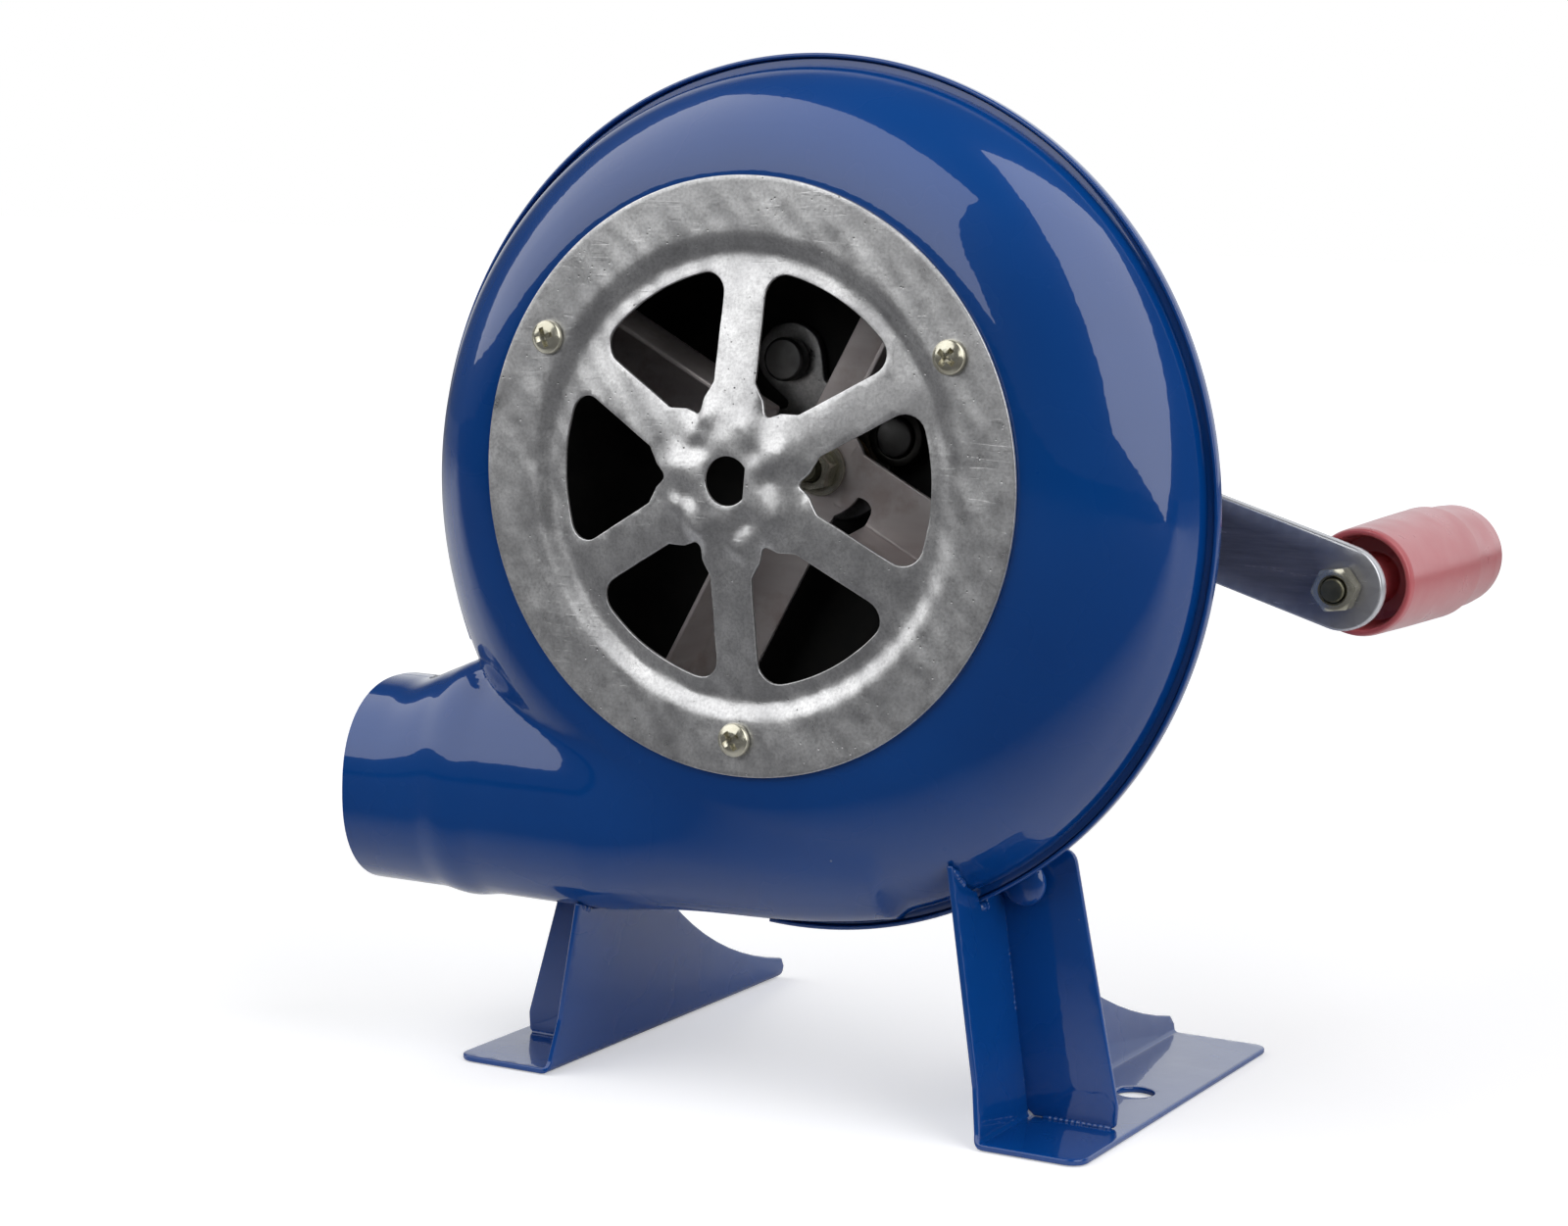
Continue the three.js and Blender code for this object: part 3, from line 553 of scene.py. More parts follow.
def shaded_lining():
    """The unpainted inside of the fan housing: dark mill scale with a little dust, its colour made
    near-black as painted shade for the unlit inside.
    """
    n = Nodes("housing_lining_painted_shade")
    scale = n.noise(70, 5, 0.6)
    # near-black base colour: painted shade for the unlit inside of the housing, on top of the dark steel's
    # own colour
    n.set(Base_Color=n.blend(n.span(scale, 0.35, 0.7), (0.010, 0.010, 0.011), (0.026, 0.025, 0.024)))
    n.set(Roughness=n.span(scale, 0.3, 0.7, 0.55, 0.75))
    n.set(Metallic=0.0, Specular_IOR_Level=0.3)
    n.set(Normal=n.bump(scale, 0.15, 0.0005))
    return n.material


def plated(name, low, high, rough_low, rough_high, metallic=1.0, bump=0.06):
    """Small metal parts: a cloudy tint between two colours and a fine grain."""
    n = Nodes(name)
    cloud = n.noise(120, 4, 0.6)
    n.set(Base_Color=n.blend(n.span(cloud), low, high))
    n.set(Roughness=n.span(n.noise(300, 3), 0.3, 0.7, rough_low, rough_high))
    n.set(Metallic=metallic)
    n.set(Normal=n.bump(n.noise(500, 3), bump, 0.0003))
    return n.material


def dark_plate():
    """The crank arm: dark plated bar with a faint brushed direction and rubbed edges."""
    n = Nodes("dark_plating")
    brushed = n.noise(90, 6, 0.7, where=n.stretch((0.6, 6, 9), (0, 0.3, 0)))
    tone = n.blend(n.span(brushed), (0.17, 0.165, 0.185), (0.27, 0.26, 0.28))
    rubbed = n.edges(0.505, 0.53)
    n.set(Base_Color=n.blend(rubbed, tone, (0.62, 0.63, 0.66)))
    n.set(Roughness=n.span(brushed, 0.25, 0.75, 0.16, 0.30))
    n.set(Metallic=0.6, Specular_IOR_Level=0.5)
    n.set(Normal=n.bump(brushed, 0.06, 0.0003))
    return n.material


def red_plastic():
    """Moulded maroon-red plastic with a soft gloss and faint flow marks."""
    n = Nodes("red_moulding")
    flow = n.noise(22, 3, 0.5, where=n.stretch((1, 0.25, 1)))
    n.set(Base_Color=n.blend(n.span(flow), (0.48, 0.080, 0.094), (0.60, 0.120, 0.138)))
    n.set(Roughness=n.span(n.noise(120, 4), 0.3, 0.7, 0.26, 0.4))
    n.set(Metallic=0.0, IOR=1.49, Specular_IOR_Level=0.55)
    n.set(Coat_Weight=0.7, Coat_Roughness=0.3)
    surface = n.bump(n.noise(420, 3), 0.05, 0.0003)
    n.set(Normal=surface, Coat_Normal=surface)
    return n.material


PAINT = enamel()
SHADED_LINING = shaded_lining()
ZINC_SHEET = galvanised()
BLADE = blade_steel()
PLATE_STEEL = galvanised("bracket_zinc", (0.34, 0.34, 0.34), (0.52, 0.52, 0.52))
ZINC = plated("yellow_zinc", (0.52, 0.49, 0.38), (0.76, 0.74, 0.62), 0.14, 0.28, 0.8)
STUD_STEEL = plated("dull_stud_steel", (0.12, 0.12, 0.12), (0.20, 0.20, 0.20), 0.34, 0.5)
# The inner crank bush's bronze, made near-black as painted shade for the unlit inside of the housing; the
# outer bush uses the plain bronze.
SHADED_BRONZE = plated("bronze_painted_shade", (0.035, 0.035, 0.034), (0.075, 0.073, 0.068), 0.3, 0.5)
STEEL = plated("turned_steel", (0.33, 0.33, 0.34), (0.55, 0.55, 0.56), 0.18, 0.34)
DARK_THREAD = plated("dull_thread", (0.10, 0.10, 0.07), (0.22, 0.21, 0.15), 0.3, 0.5, 0.9)
BRONZE = plated("sintered_bronze", (0.36, 0.21, 0.08), (0.55, 0.36, 0.16), 0.34, 0.5, 1.0, 0.15)
ARM_PLATE = dark_plate()
RED = red_plastic()


# ---- housing skin ----
SEAM = 27.5  # y of the seam between the two halves
SHEET = 1.2
LAND = 73.0  # radius of the flat land round the grille
RIM = 104.5
RIM_CENTRE = (4.0, -6.0)
SEAM_FROM, SEAM_TO = -94, 204  # degrees over which the two halves are crimped together
BOWL_FRONT, BOWL_REAR = 26.2, 28.0  # depths of the bowl before and behind the seam
BOWL_ROUNDNESS, PIPE_SQUARENESS = 1.8, 2.35
BOWL_SCALE, PIPE_SCALE = 27, 26.6  # these turn the levels into millimetres, roughly
PIPE_Z = -88.0
PIPE_HIGH, PIPE_WIDE = 27, 26.3  # half the pipe's height and width
PIPE_MOUTH, PIPE_END = -117.0, 30  # x of the open end, and of the end inside the bowl
BEAD_X, BEAD_HALF = -87, 9  # the raised ring round the pipe, and half its width
CROWN_FROM, CROWN_RUN, CROWN_RISE = -109, 20, 6.0  # where and how far the pipe's top rises
TAPER_FROM, TAPER_RUN = -45, 90  # where the pipe narrows inside the bowl
BLEND, EXTRA_BLEND = 1.8, 6.5  # how softly bowl and pipe meet, and what is added at the bottom
BLEND_FROM, BLEND_RUN = -66, 30
NEVER_ZERO = 1e-12


def superellipse(a, b, power):
    return (a ** power + b ** power + NEVER_ZERO) ** (1 / power)


def dome_level(x, y, z):
    """Below zero inside the bowl-shaped fan housing."""
    radius = np.hypot(x, z)
    for _ in range(7):  # the centre shifts with the radius, so the radius settles by repetition
        share = np.clip((radius - LAND) / (RIM - LAND), 0, 1)
        radius = np.hypot(x - RIM_CENTRE[0] * share, z - RIM_CENTRE[1] * share)
    out = np.maximum(radius - LAND, 0) / (RIM - LAND)
    deep = np.abs(y - SEAM) / np.where(y < SEAM, BOWL_FRONT, BOWL_REAR)
    return (superellipse(out, deep, BOWL_ROUNDNESS) - 1) * BOWL_SCALE


def duct_level(x, y, z):
    """Below zero inside the outlet pipe, whose crown rises towards the bowl that it ends in."""
    taper = np.clip((x - TAPER_FROM) / TAPER_RUN, 0, 1)
    bead = np.cos(np.clip((x - BEAD_X) / (2 * BEAD_HALF), -0.5, 0.5) * np.pi) ** 2
    size = 1 + bead / PIPE_HIGH - 0.45 * taper
    flare = np.clip((x - CROWN_FROM) / CROWN_RUN, 0, 1)
    lift = CROWN_RISE * flare * flare * (3 - 2 * flare)
    height = z - PIPE_Z + 0.15 * taper
    side = np.abs(y - SEAM) / PIPE_WIDE
    rise = np.abs(height) / np.where(height > 0, PIPE_HIGH + lift, PIPE_HIGH)
    level = (superellipse(side, rise, PIPE_SQUARENESS) - size) * PIPE_SCALE
    return np.maximum(level, x - PIPE_END)


def skin_level(p):
    """The bowl and the pipe in one skin. They blend more softly towards the bottom."""
    x, y, z = p[..., 0], p[..., 1], p[..., 2]
    dome, duct = dome_level(x, y, z), duct_level(x, y, z)
    soft = BLEND + EXTRA_BLEND * np.clip((BLEND_FROM - z) / BLEND_RUN, 0, 1)
    share = np.clip(0.5 + 0.5 * (duct - dome) / soft, 0, 1)
    return duct + (dome - duct) * share - soft * share * (1 - share)


def gradient(level, p, step=0.05):
    out = np.zeros_like(p)
    for axis in range(3):
        shift = np.zeros(3)
        shift[axis] = step
        out[..., axis] = (level(p + shift) - level(p - shift)) / (2 * step)
    return out


def surface_net(level, low, high, step):
    """Quads along the zero level of a function, one vertex in each cell that it crosses."""
    axes = [np.arange(low[k], high[k] + step, step) for k in range(3)]
    field = level(np.stack(np.meshgrid(*axes, indexing="ij"), -1))
    size = np.array(field.shape)
    sums, counts = np.zeros((*size - 1, 3)), np.zeros(size - 1)
    crossings = []
    for axis in range(3):
        a = np.take(field, range(size[axis] - 1), axis)
        b = np.take(field, range(1, size[axis]), axis)
        where = np.argwhere((a < 0) != (b < 0))
        va, vb = a[tuple(where.T)], b[tuple(where.T)]
        spot = where.astype(float)
        spot[:, axis] += va / (va - vb)
        others = [k for k in range(3) if k != axis]
        cells = []
        for di, dj in ((0, 0), (-1, 0), (-1, -1), (0, -1)):
            cell = where.copy()
            cell[:, others[0]] += di
            cell[:, others[1]] += dj
            cells.append(cell)
        stack = np.stack(cells, 1)
        ok = np.all((stack >= 0) & (stack < size - 1), axis=(1, 2))
        for cell in cells:
            good = np.all((cell >= 0) & (cell < size - 1), axis=1)
            np.add.at(sums, tuple(cell[good].T), spot[good])
            np.add.at(counts, tuple(cell[good].T), 1)
        flip = (va < 0) ^ (axis == 1)
        crossings.append((stack[ok], flip[ok]))
    number = -np.ones(size - 1, int)
    used = counts > 0
    number[used] = np.arange(int(used.sum()))
    points = sums[used] / counts[used][:, None] * step + np.array(low)
    faces = []
    for stack, flip in crossings:
        ids = number[stack[..., 0], stack[..., 1], stack[..., 2]]
        ids = np.where(flip[:, None], ids, ids[:, ::-1])
        faces.append(ids)
    for _ in range(6):
        slope = gradient(level, points)
        points = points - slope * (level(points) / np.maximum(np.sum(slope ** 2, 1), 1e-3))[:, None]
    return points, np.concatenate(faces).tolist()


def shell(name, skin, keep_front):
    """One half of the housing skin, cut at the seam and the pipe mouth, as a real sheet."""
    half_gap = 0.15
    keep = 1 if keep_front else -1
    seam = SEAM - keep * half_gap + GRILLE_CENTRE[1]
    mouth = PIPE_MOUTH + GRILLE_CENTRE[0]
    piece = make_object(name, skin)
    work = bmesh.new()
    work.from_mesh(piece.data)
    for where, normal in (((0, seam / 1000, 0), (0, keep, 0)), ((mouth / 1000, 0, 0), (-1, 0, 0))):
        bmesh.ops.bisect_plane(
            work, geom=work.verts[:] + work.edges[:] + work.faces[:],
            plane_co=where, plane_no=normal, clear_outer=True, dist=1e-6)
    bmesh.ops.remove_doubles(work, verts=work.verts, dist=2e-5)
    work.to_mesh(piece.data)
    work.free()
    # the inner faces get the near-black lining, whose colour carries painted shade
    for one in (PAINT, SHADED_LINING):
        piece.data.materials.append(one)
    sheet = piece.modifiers.new("sheet", "SOLIDIFY")
    sheet.thickness = SHEET / 1000
    sheet.offset = -1
    sheet.use_even_offset = False
    sheet.use_rim = True
    sheet.material_offset = 1
    apply_modifiers(piece)
    return piece


def rods(radius, front, back, centres, segments):
    return [rod(radius, front, back, centre, segments) for centre in centres]


GRILLE_SCREWS = [polar(63, 30 + 120 * k) for k in range(3)]
COVER_SCREWS = [polar(54.8, 45 + 90 * k, COVER) for k in range(4)]
RIVETS = [(3.0, 18.0), (-22.0, 6.0)]
GRILLE_SCREW_HOLE, SMALL_HOLE = 2.2, 1.9
RIM_STEPS = 204  # sides of the crimped rim

grid_low, grid_high, grid_step = (-123.0, -1.0, -119.5), (114.5, 58.0, 105.5), 1.5
skin = surface_net(skin_level, grid_low, grid_high, grid_step)

front_shell = shell("front_shell", skin, True)
flange = fillet([(103.6, 26.55), (106.1, 26.55, 0.3), (106.1, 27.35, 0.3), (103.6, 27.35)], steps=2)
boolean(front_shell, sweep_arc(flange, SEAM_FROM, SEAM_TO, RIM_CENTRE, RIM_STEPS), "UNION")
inlet = rod(58.5, -6, 8, (0, 0), 160)
boolean(front_shell, merge(inlet, *rods(GRILLE_SCREW_HOLE, -4, 8, GRILLE_SCREWS, 24)), "DIFFERENCE")
finish_piece(front_shell, PAINT, "housing", ["front_housing"], shaded_lining=SHADED_LINING)

rear_shell = shell("rear_shell", skin, False)
hook = fillet([
    (103.6, 28.65), (107.4, 28.65, 0.7), (107.4, 25.45, 0.45), (106.4, 25.45, 0.4),
    (106.4, 27.65, 0.2), (103.6, 27.65)], steps=3)
boolean(rear_shell, sweep_arc(hook, SEAM_FROM, SEAM_TO, RIM_CENTRE, RIM_STEPS), "UNION")
boolean(rear_shell, merge(
    rod(7.3, 50, 60), rod(4.3, 50, 60, IDLER, 36), rod(7.8, 50, 60, CRANK),
    *rods(SMALL_HOLE, 50, 60, COVER_SCREWS + RIVETS, 20)), "DIFFERENCE")
finish_piece(rear_shell, PAINT, "housing", ["rear_housing"], shaded_lining=SHADED_LINING)


# ---- inlet grille ----
def smooth_profile(knots, blur):
    """A profile height over radius, with its corners rounded over a few millimetres."""
    radius = np.arange(0, 73, 0.25)
    raw = np.interp(radius, [k[0] for k in knots], [k[1] for k in knots])
    width = int(blur / 0.25)
    weights = np.hanning(2 * width + 3)
    weights /= weights.sum()
    padded = np.concatenate([np.full(width + 1, raw[0]), raw, np.full(width + 1, raw[-1])])
    return radius, np.convolve(padded, weights, "valid")


DISH = smooth_profile([(0, -7), (9, -7), (20, -4.8), (53.0, 1.7), (54.5, 1.7), (58, 0), (72, 0)], 1.6)
HAMMERED = [  # radius, degrees, height towards the front, width
    (14.5, -31, 1.5, 4.4), (13.5, -128, 1.4, 4.2), (16.5, -78, 1.1, 3.8), (15, 172, 1.2, 4.4),
    (13, 73, 1.0, 3.8), (17, 113, 1.2, 4.0), (15.5, 27, 1.3, 4.6), (16.5, 205, 0.9, 3.6),
    (10.5, -62, -1.3, 3.0), (10.5, 5, -0.8, 3.2), (11, 140, -1.1, 3.2), (19.5, -2, -1.2, 3.6),
    (19.5, -60, -1.1, 3.4), (20, 60, -1.0, 3.4), (19.5, 121, -1.1, 3.2), (19.5, -119, -1.2, 3.4),
    (11, -160, -0.9, 3.0), (10, 45, -0.7, 3.0),
]
GRILLE_RADIUS = 72.0
HUB_FRONT = -7.0  # y of the hub's front face
SPOKE_HALF = 5.55
WINDOW_RADIUS, WINDOW_CORNER = 50.0, 5.0
KEY_RADIUS, KEY_FROM, KEY_TO = 5.9, 34, 318  # the centre hole is round but for one flat


def dish_height(u, v):
    """y of the grille's front face: the dished ring, the hub's hammer marks and soft ripples."""
    radius = np.hypot(u, v)
    height = np.interp(radius, *DISH)
    for at, turn, rise, width in HAMMERED:
        cx, cz = polar(at, turn)
        height = height - rise * np.exp(-((u - cx) ** 2 + (v - cz) ** 2) / (width ** 2 / 1.6))
    spoke = np.cos(np.radians(6 * (np.degrees(np.arctan2(v, u)) - 30)))
    crown = np.clip((radius - 18) / 6, 0, 1) * np.clip((50 - radius) / 8, 0, 1)
    ripple = 0.10 * np.sin(u * 0.31 + 1.1) * np.sin(v * 0.27 + 0.4) + 0.06 * np.sin(u * 0.73 + v * 0.61)
    height = height - 0.22 * crown * spoke + ripple * np.clip((71 - radius) / 8, 0, 1)
    return np.maximum(height, HUB_FRONT + 0.004 * np.abs(u))


def grille_place(u, v, w):
    return u, dish_height(u, v) + w, v


def window(turn):
    """A window between two spokes: shouldered at the hub, with rounded outer corners."""
    c, s = polar(1, 30)
    high = [(along * c + aside * s, along * s - aside * c, radius)
            for along, aside, radius in ((19.3, 7.9, 1.6), (23.3, SPOKE_HALF, 1.5))]
    low = [(u, -v, radius) for u, v, radius in high]
    corner_at = WINDOW_RADIUS - WINDOW_CORNER
    swing = 30 - math.degrees(math.asin((SPOKE_HALF + WINDOW_CORNER) / corner_at))
    arcs = []
    for sign, turns in ((-1, np.linspace(-120, -swing, 8)), (1, np.linspace(swing, 120, 8))):
        middle = polar(corner_at, sign * swing)
        arcs.append([polar(WINDOW_CORNER, t, middle) for t in turns])
    outer = [polar(WINDOW_RADIUS, t) for t in np.linspace(-swing, swing, 26)[1:-1]]
    inner = (17.4, 0.0, 1.3)
    ring = fillet([inner, *low, *arcs[0], *outer, *arcs[1], *reversed(high)], steps=4)
    return np.stack(rotated(ring[:, 0], ring[:, 1], turn), 1)


def ring_points():
    """Points on close circles, so that the dish bends smoothly."""
    rings = []
    for k, radius in enumerate(np.arange(7.5, 71.6, 1.15)):
        count = max(24, int(2 * math.pi * radius / 1.5))
        rings.append(circle(radius, count=count, phase=(k % 2) * 180.0 / count))
    return np.concatenate(rings)


key_hole = np.array([polar(KEY_RADIUS, t) for t in np.linspace(KEY_FROM, KEY_TO, 40)])
grille_holes = [window(60 * k) for k in range(6)] + [key_hole]
grille_holes += [circle(GRILLE_SCREW_HOLE, centre, 24) for centre in GRILLE_SCREWS]
grille = make_object("grille_dish", plate(
    circle(GRILLE_RADIUS, count=240), grille_holes, 1.0, grille_place,
    edge=0.28, points=ring_points(), side=0.9))
finish_piece(grille, ZINC_SHEET, "housing", ["inlet_grille"], 50)


# ---- fasteners ----
def pan_screw(name, centre, seat, heads, head, shank, length, node, turn):
    """A pan head with a cross recess, on a plain shank. heads is the way the head points in y."""
    top = seat + heads * head * 0.57
    piece = make_object(name, turning([
        (0, top), (head * 0.62, top - heads * head * 0.04, head * 0.6),
        (head, seat + heads * head * 0.25, head * 0.3), (head, seat, 0.15),
        (shank, seat), (shank, seat - heads * length), (0, seat - heads * length)], 40, centre, 6))
    half_long, half_wide, deep = head * 0.60, head * 0.16, head * 0.46
    outline = [(a * half_long, b * half_wide) for a, b in ((-1, -1), (1, -1), (1, 1), (-1, 1))]
    sections = ((top + heads * 0.6, 1.15), (top - heads * deep * 0.5, 0.85), (top - heads * deep, 0.35))
    for slot_turn in (turn, turn + 90):
        rows = []
        for y, size in sections:
            for u, v in outline:
                x, z = rotated(u * size, v * (0.8 + 0.2 * size), slot_turn)
                rows.append((centre[0] + x, y, centre[1] + z))
        faces = grid_faces(3, 4, wrap_columns=True) + [[3, 2, 1, 0], [8, 9, 10, 11]]
        boolean(piece, (rows, faces), "DIFFERENCE")
    finish_piece(piece, ZINC, "housing", [node], 42)


for k, (centre, turn) in enumerate(zip(GRILLE_SCREWS, (52, 20, 33))):
    pan_screw(f"grille_pan_screw_{k + 1}", centre, -0.3, -1, 4.2, 1.9, 7, f"grille_screw_{k + 1}", turn)
for k, (centre, turn) in enumerate(zip(COVER_SCREWS, (10, 64, 37, 81))):
    pan_screw(f"case_pan_screw_{k + 1}", centre, 57.3, 1, 3.4, 1.6, 8, f"cover_screw_{k + 1}", turn)


# ---- feet ----
LEAN_DEGREES = 9
LEAN = math.tan(math.radians(LEAN_DEGREES))
WEB_TOPS = {"right": -88.0, "left": -105.0}
FOOT_SHEET = 1.5
BRACE_FRONT = 38.0
REAR_EDGE = ((34, -98), (75, -139.5), (132, -151))  # (y, z) of a curve's ends and its middle handle
SKIN_GAP, RIM_GAP_RADIUS = 0.35, 107.7


def fold_x(side):
    """x of the fold between a foot's base and its web. side is 1 for the right foot."""
    return 2 + side * 60


def web_x(side, z):
    return fold_x(side) - side * LEAN * (z - FLOOR)


def web_edge(side, from_y, limit):
    """Where the leaning web meets the housing skin, as (y, height) with a small gap."""
    edge = []
    heights = np.arange(FLOOR + 20, limit, 0.25)
    x = web_x(side, heights)
    for y in np.arange(from_y, 30.1, 1.5):
        level = skin_level(np.stack([x, np.full_like(x, y), heights], 1))
        if abs(y - 27.2) < 2.4:
            rim = np.hypot(x - RIM_CENTRE[0], heights - RIM_CENTRE[1])
            level = np.minimum(level, rim - RIM_GAP_RADIUS)
        hit = np.argmax(level < SKIN_GAP) if np.any(level < SKIN_GAP) else len(heights) - 1
        edge.append((y, heights[hit]))
    return edge


def foot(name, side, web_top, brace_top, node):
    """A folded sheet with a base and a leaning web, and a stiffener across them."""
    fold = fold_x(side)
    bend = 2.6
    slope = math.radians(90 - LEAN_DEGREES)
    arc = bend * slope
    flat_end = -bend * math.tan(slope / 2)

    def place(u, v, w):
        """u is Y. v runs from the outer edge of the base, through the bend, up the web."""
        over = v - flat_end
        angle = np.clip(over / bend, 0, slope)
        radius = bend - w
        up = np.where(over > arc, over - arc, 0)
        out = np.where(over < 0, -v, -flat_end - radius * np.sin(angle) - up * math.cos(slope))
        height = np.where(over < 0, w, bend - radius * np.cos(angle) + up * math.sin(slope))
        return fold + side * out, u, FLOOR + height

    def on_web(y, z):
        """The developed length at which the web reaches height z."""
        rise = z - FLOOR - (bend - bend * math.cos(slope))
        return y, arc + flat_end + rise / math.sin(slope)

    top = web_edge(side, 12.0, web_top)
    tail = []
    for t in np.linspace(0, 1, 14):
        tail.append([(1 - t) ** 2 * a + 2 * t * (1 - t) * b + t * t * c for a, b, c in zip(*REAR_EDGE)])
    outline = [
        (9.0, -28, 4.5), (9.0, -1.0, 1.5), (10.2, 2.5, 1.0), (*on_web(12.0, FLOOR + 14), 3.0),
        (*on_web(*top[0]), 1.2), *[on_web(y, z) for y, z in top[1:]],
        (*on_web(*tail[0]), 2.0), *[on_web(y, z) for y, z in tail[1:]],
        (*on_web(134, FLOOR + 3.5), 0.8), (134.0, -0.5, 0.8), (134.0, -28, 4.0),
    ]
    bolt_hole = circle(4.75, (72.0, -15.4), 40)
    rows = np.concatenate([np.arange(-27, -3.0, 3.0), np.arange(-2.8, 3.4, 0.45), np.arange(4.5, 75, 3.0)])
    sheet = plate(fillet(outline), [bolt_hole], FOOT_SHEET, place,
                  edge=0.4, points=dotted_rows(10, 134, rows), side=0.9)

    lean_in = LEAN * (brace_top - FLOOR)
    corners = [
        (fold - side * (lean_in - 0.3), brace_top, 2.0), (fold + side * (22 - lean_in), brace_top, 3.6),
        (fold + side * 24.6, FLOOR + 7, 5.0), (fold + side * 24.2, FLOOR + 1.7, 1.2),
        (fold + side * 2.6, FLOOR + 1.7, 0.4), (fold + side * 0.7, FLOOR + 3.4, 0.4)]
    brace = plate(fillet(corners), [], FOOT_SHEET, facing(front=BRACE_FRONT), edge=0.4, side=0.9)
    piece = make_object(name, merge(sheet, brace))
    finish_piece(piece, PAINT, "housing", [node], 45)


foot("right_foot_sheet", 1, WEB_TOPS["right"], -88.0, "right_foot")
foot("left_foot_sheet", -1, WEB_TOPS["left"], -116.8, "left_foot")


def bead(path, radius, seed, wave=0.22):
    """An uneven weld bead along a path: scalloped, and tapering at its ends."""
    path = np.asarray(path, float)
    lengths = np.concatenate([[0], np.cumsum(np.linalg.norm(np.diff(path, axis=0), axis=1))])
    whole = lengths[-1]
    at = np.linspace(0, whole, max(8, int(whole / 0.35)))
    fine = np.stack([np.interp(at, lengths, path[:, k]) for k in range(3)], 1)
    random = np.random.default_rng(seed)
    knots = max(3, int(whole / 1.6))
    lumps = np.interp(at, np.linspace(0, whole, knots), random.uniform(-1, 1, knots))
    fine = fine + lumps[:, None] * random.normal(0, 0.05, (1, 3)) * radius
    radii = radius * (1 + wave * lumps + 0.12 * np.sin(at * 4.2))
    ends = np.clip(np.minimum(at, whole - at) / radius, 0, 1)
    return tube(fine, np.maximum(radii * np.sqrt(ends), 0.05), 9)


def foot_welds(side, web_top):
    """Beads where a web meets the housing and along the stiffener, and a lump on the right foot."""
    shapes = []
    top = web_edge(side, 13.0, web_top + 2)
    for k, (first, last) in enumerate(((0, 5), (8, 12))):
        path = [(web_x(side, z) + side * 0.9, y, z - 0.3) for y, z in top[first:last]]
        shapes.append(bead(path, 1.15, 11 + k + side))
    low, high = FLOOR + 7, top[-1][1] - 3
    for k, (a, b) in enumerate(((0.03, 0.10), (0.42, 0.99))):
        heights = np.linspace(low + (high - low) * a, low + (high - low) * b, 12)
        path = [(web_x(side, z) + side * 0.9, BRACE_FRONT - 0.2, z) for z in heights]
        shapes.append(bead(path, 0.7, 31 + k + side))
    along_base = [(fold_x(side) + side * out, BRACE_FRONT - 0.1, FLOOR + 1.7) for out in (5, 23.5)]
    shapes.append(bead(along_base, 0.55, 51 + side))
    if side > 0:
        lump = [(5.9 * math.sin(t), 35.3 - 2.6 * math.cos(t)) for t in np.linspace(0, math.pi, 17)]
        shapes.append(lathe(lump, 40, (61.3, -96.8)))
    return merge(*shapes)


for side, name in ((1, "right"), (-1, "left")):
    beads = make_object(f"{name}_foot_weld_beads", foot_welds(side, WEB_TOPS[name]))
    finish_piece(beads, PAINT, "housing")


# ---- gear case at the back ----
case = make_object("gear_case", turning([
    (0, 74), (47, 74, 3.0), (50, 71, 2.5), (50.6, 57.0, 1.4), (58.4, 57.0, 0.4), (58.4, 55.8, 0.3),
    (49.4, 55.8), (48.8, 70.6, 2.0), (46.4, 72.8, 2.0), (0, 72.8)], 128, COVER, 6))
boolean(case, merge(rod(7.8, 68, 78, CRANK), *rods(SMALL_HOLE, 54, 60, COVER_SCREWS, 20)), "DIFFERENCE")
boolean(case, turning([(8.0, 73.6), (8.0, 74.9, 0.3), (11.5, 74.9, 0.5), (12.2, 73.6)], 64, CRANK), "UNION")
finish_piece(case, PAINT, "housing", ["gear_cover"])


# ---- bearing bracket ----
def bracket_outline():
    """The plate that ties the fan bearing to the idler pin, with rounded lobes."""
    lobes = [((0, 0), 14.0), ((-22, 6), 7.0), (IDLER, 9.5), ((3, 18), 7.0)]
    start = np.array([-7.0, 12.0])
    least = 9.0
    ring = []
    for turn in np.arange(0, 360, 3.0):
        direction = np.array(polar(1, turn))
        reach = least
        for centre, radius in lobes:
            to = np.array(centre) - start
            along = float(to @ direction)
            off = float(to @ to) - along ** 2
            if off < radius ** 2:
                reach = max(reach, along + math.sqrt(radius ** 2 - off))
        ring.append(start + direction * reach)
    ring = np.array(ring)
    for _ in range(2):
        ring = 0.25 * np.roll(ring, 1, 0) + 0.5 * ring + 0.25 * np.roll(ring, -1, 0)
    return ring


bracket_holes = [circle(7.3, count=40), circle(4.3, IDLER, 32)]
bracket_holes += [circle(SMALL_HOLE, centre, 20) for centre in RIVETS]
bracket = make_object("bracket_plate", plate(
    bracket_outline(), bracket_holes, 2.5, facing(front=51.5), edge=0.5))
boolean(bracket, rod(7.8, 50, 56, CRANK), "DIFFERENCE")
finish_piece(bracket, PLATE_STEEL, "housing", ["bearing_bracket"])


# ---- shafts, bushes, washers, nuts, rivets ----
def small_part(name, shape, material, body, node):
    finish_piece(make_object(name, shape), material, body, [node], 40)


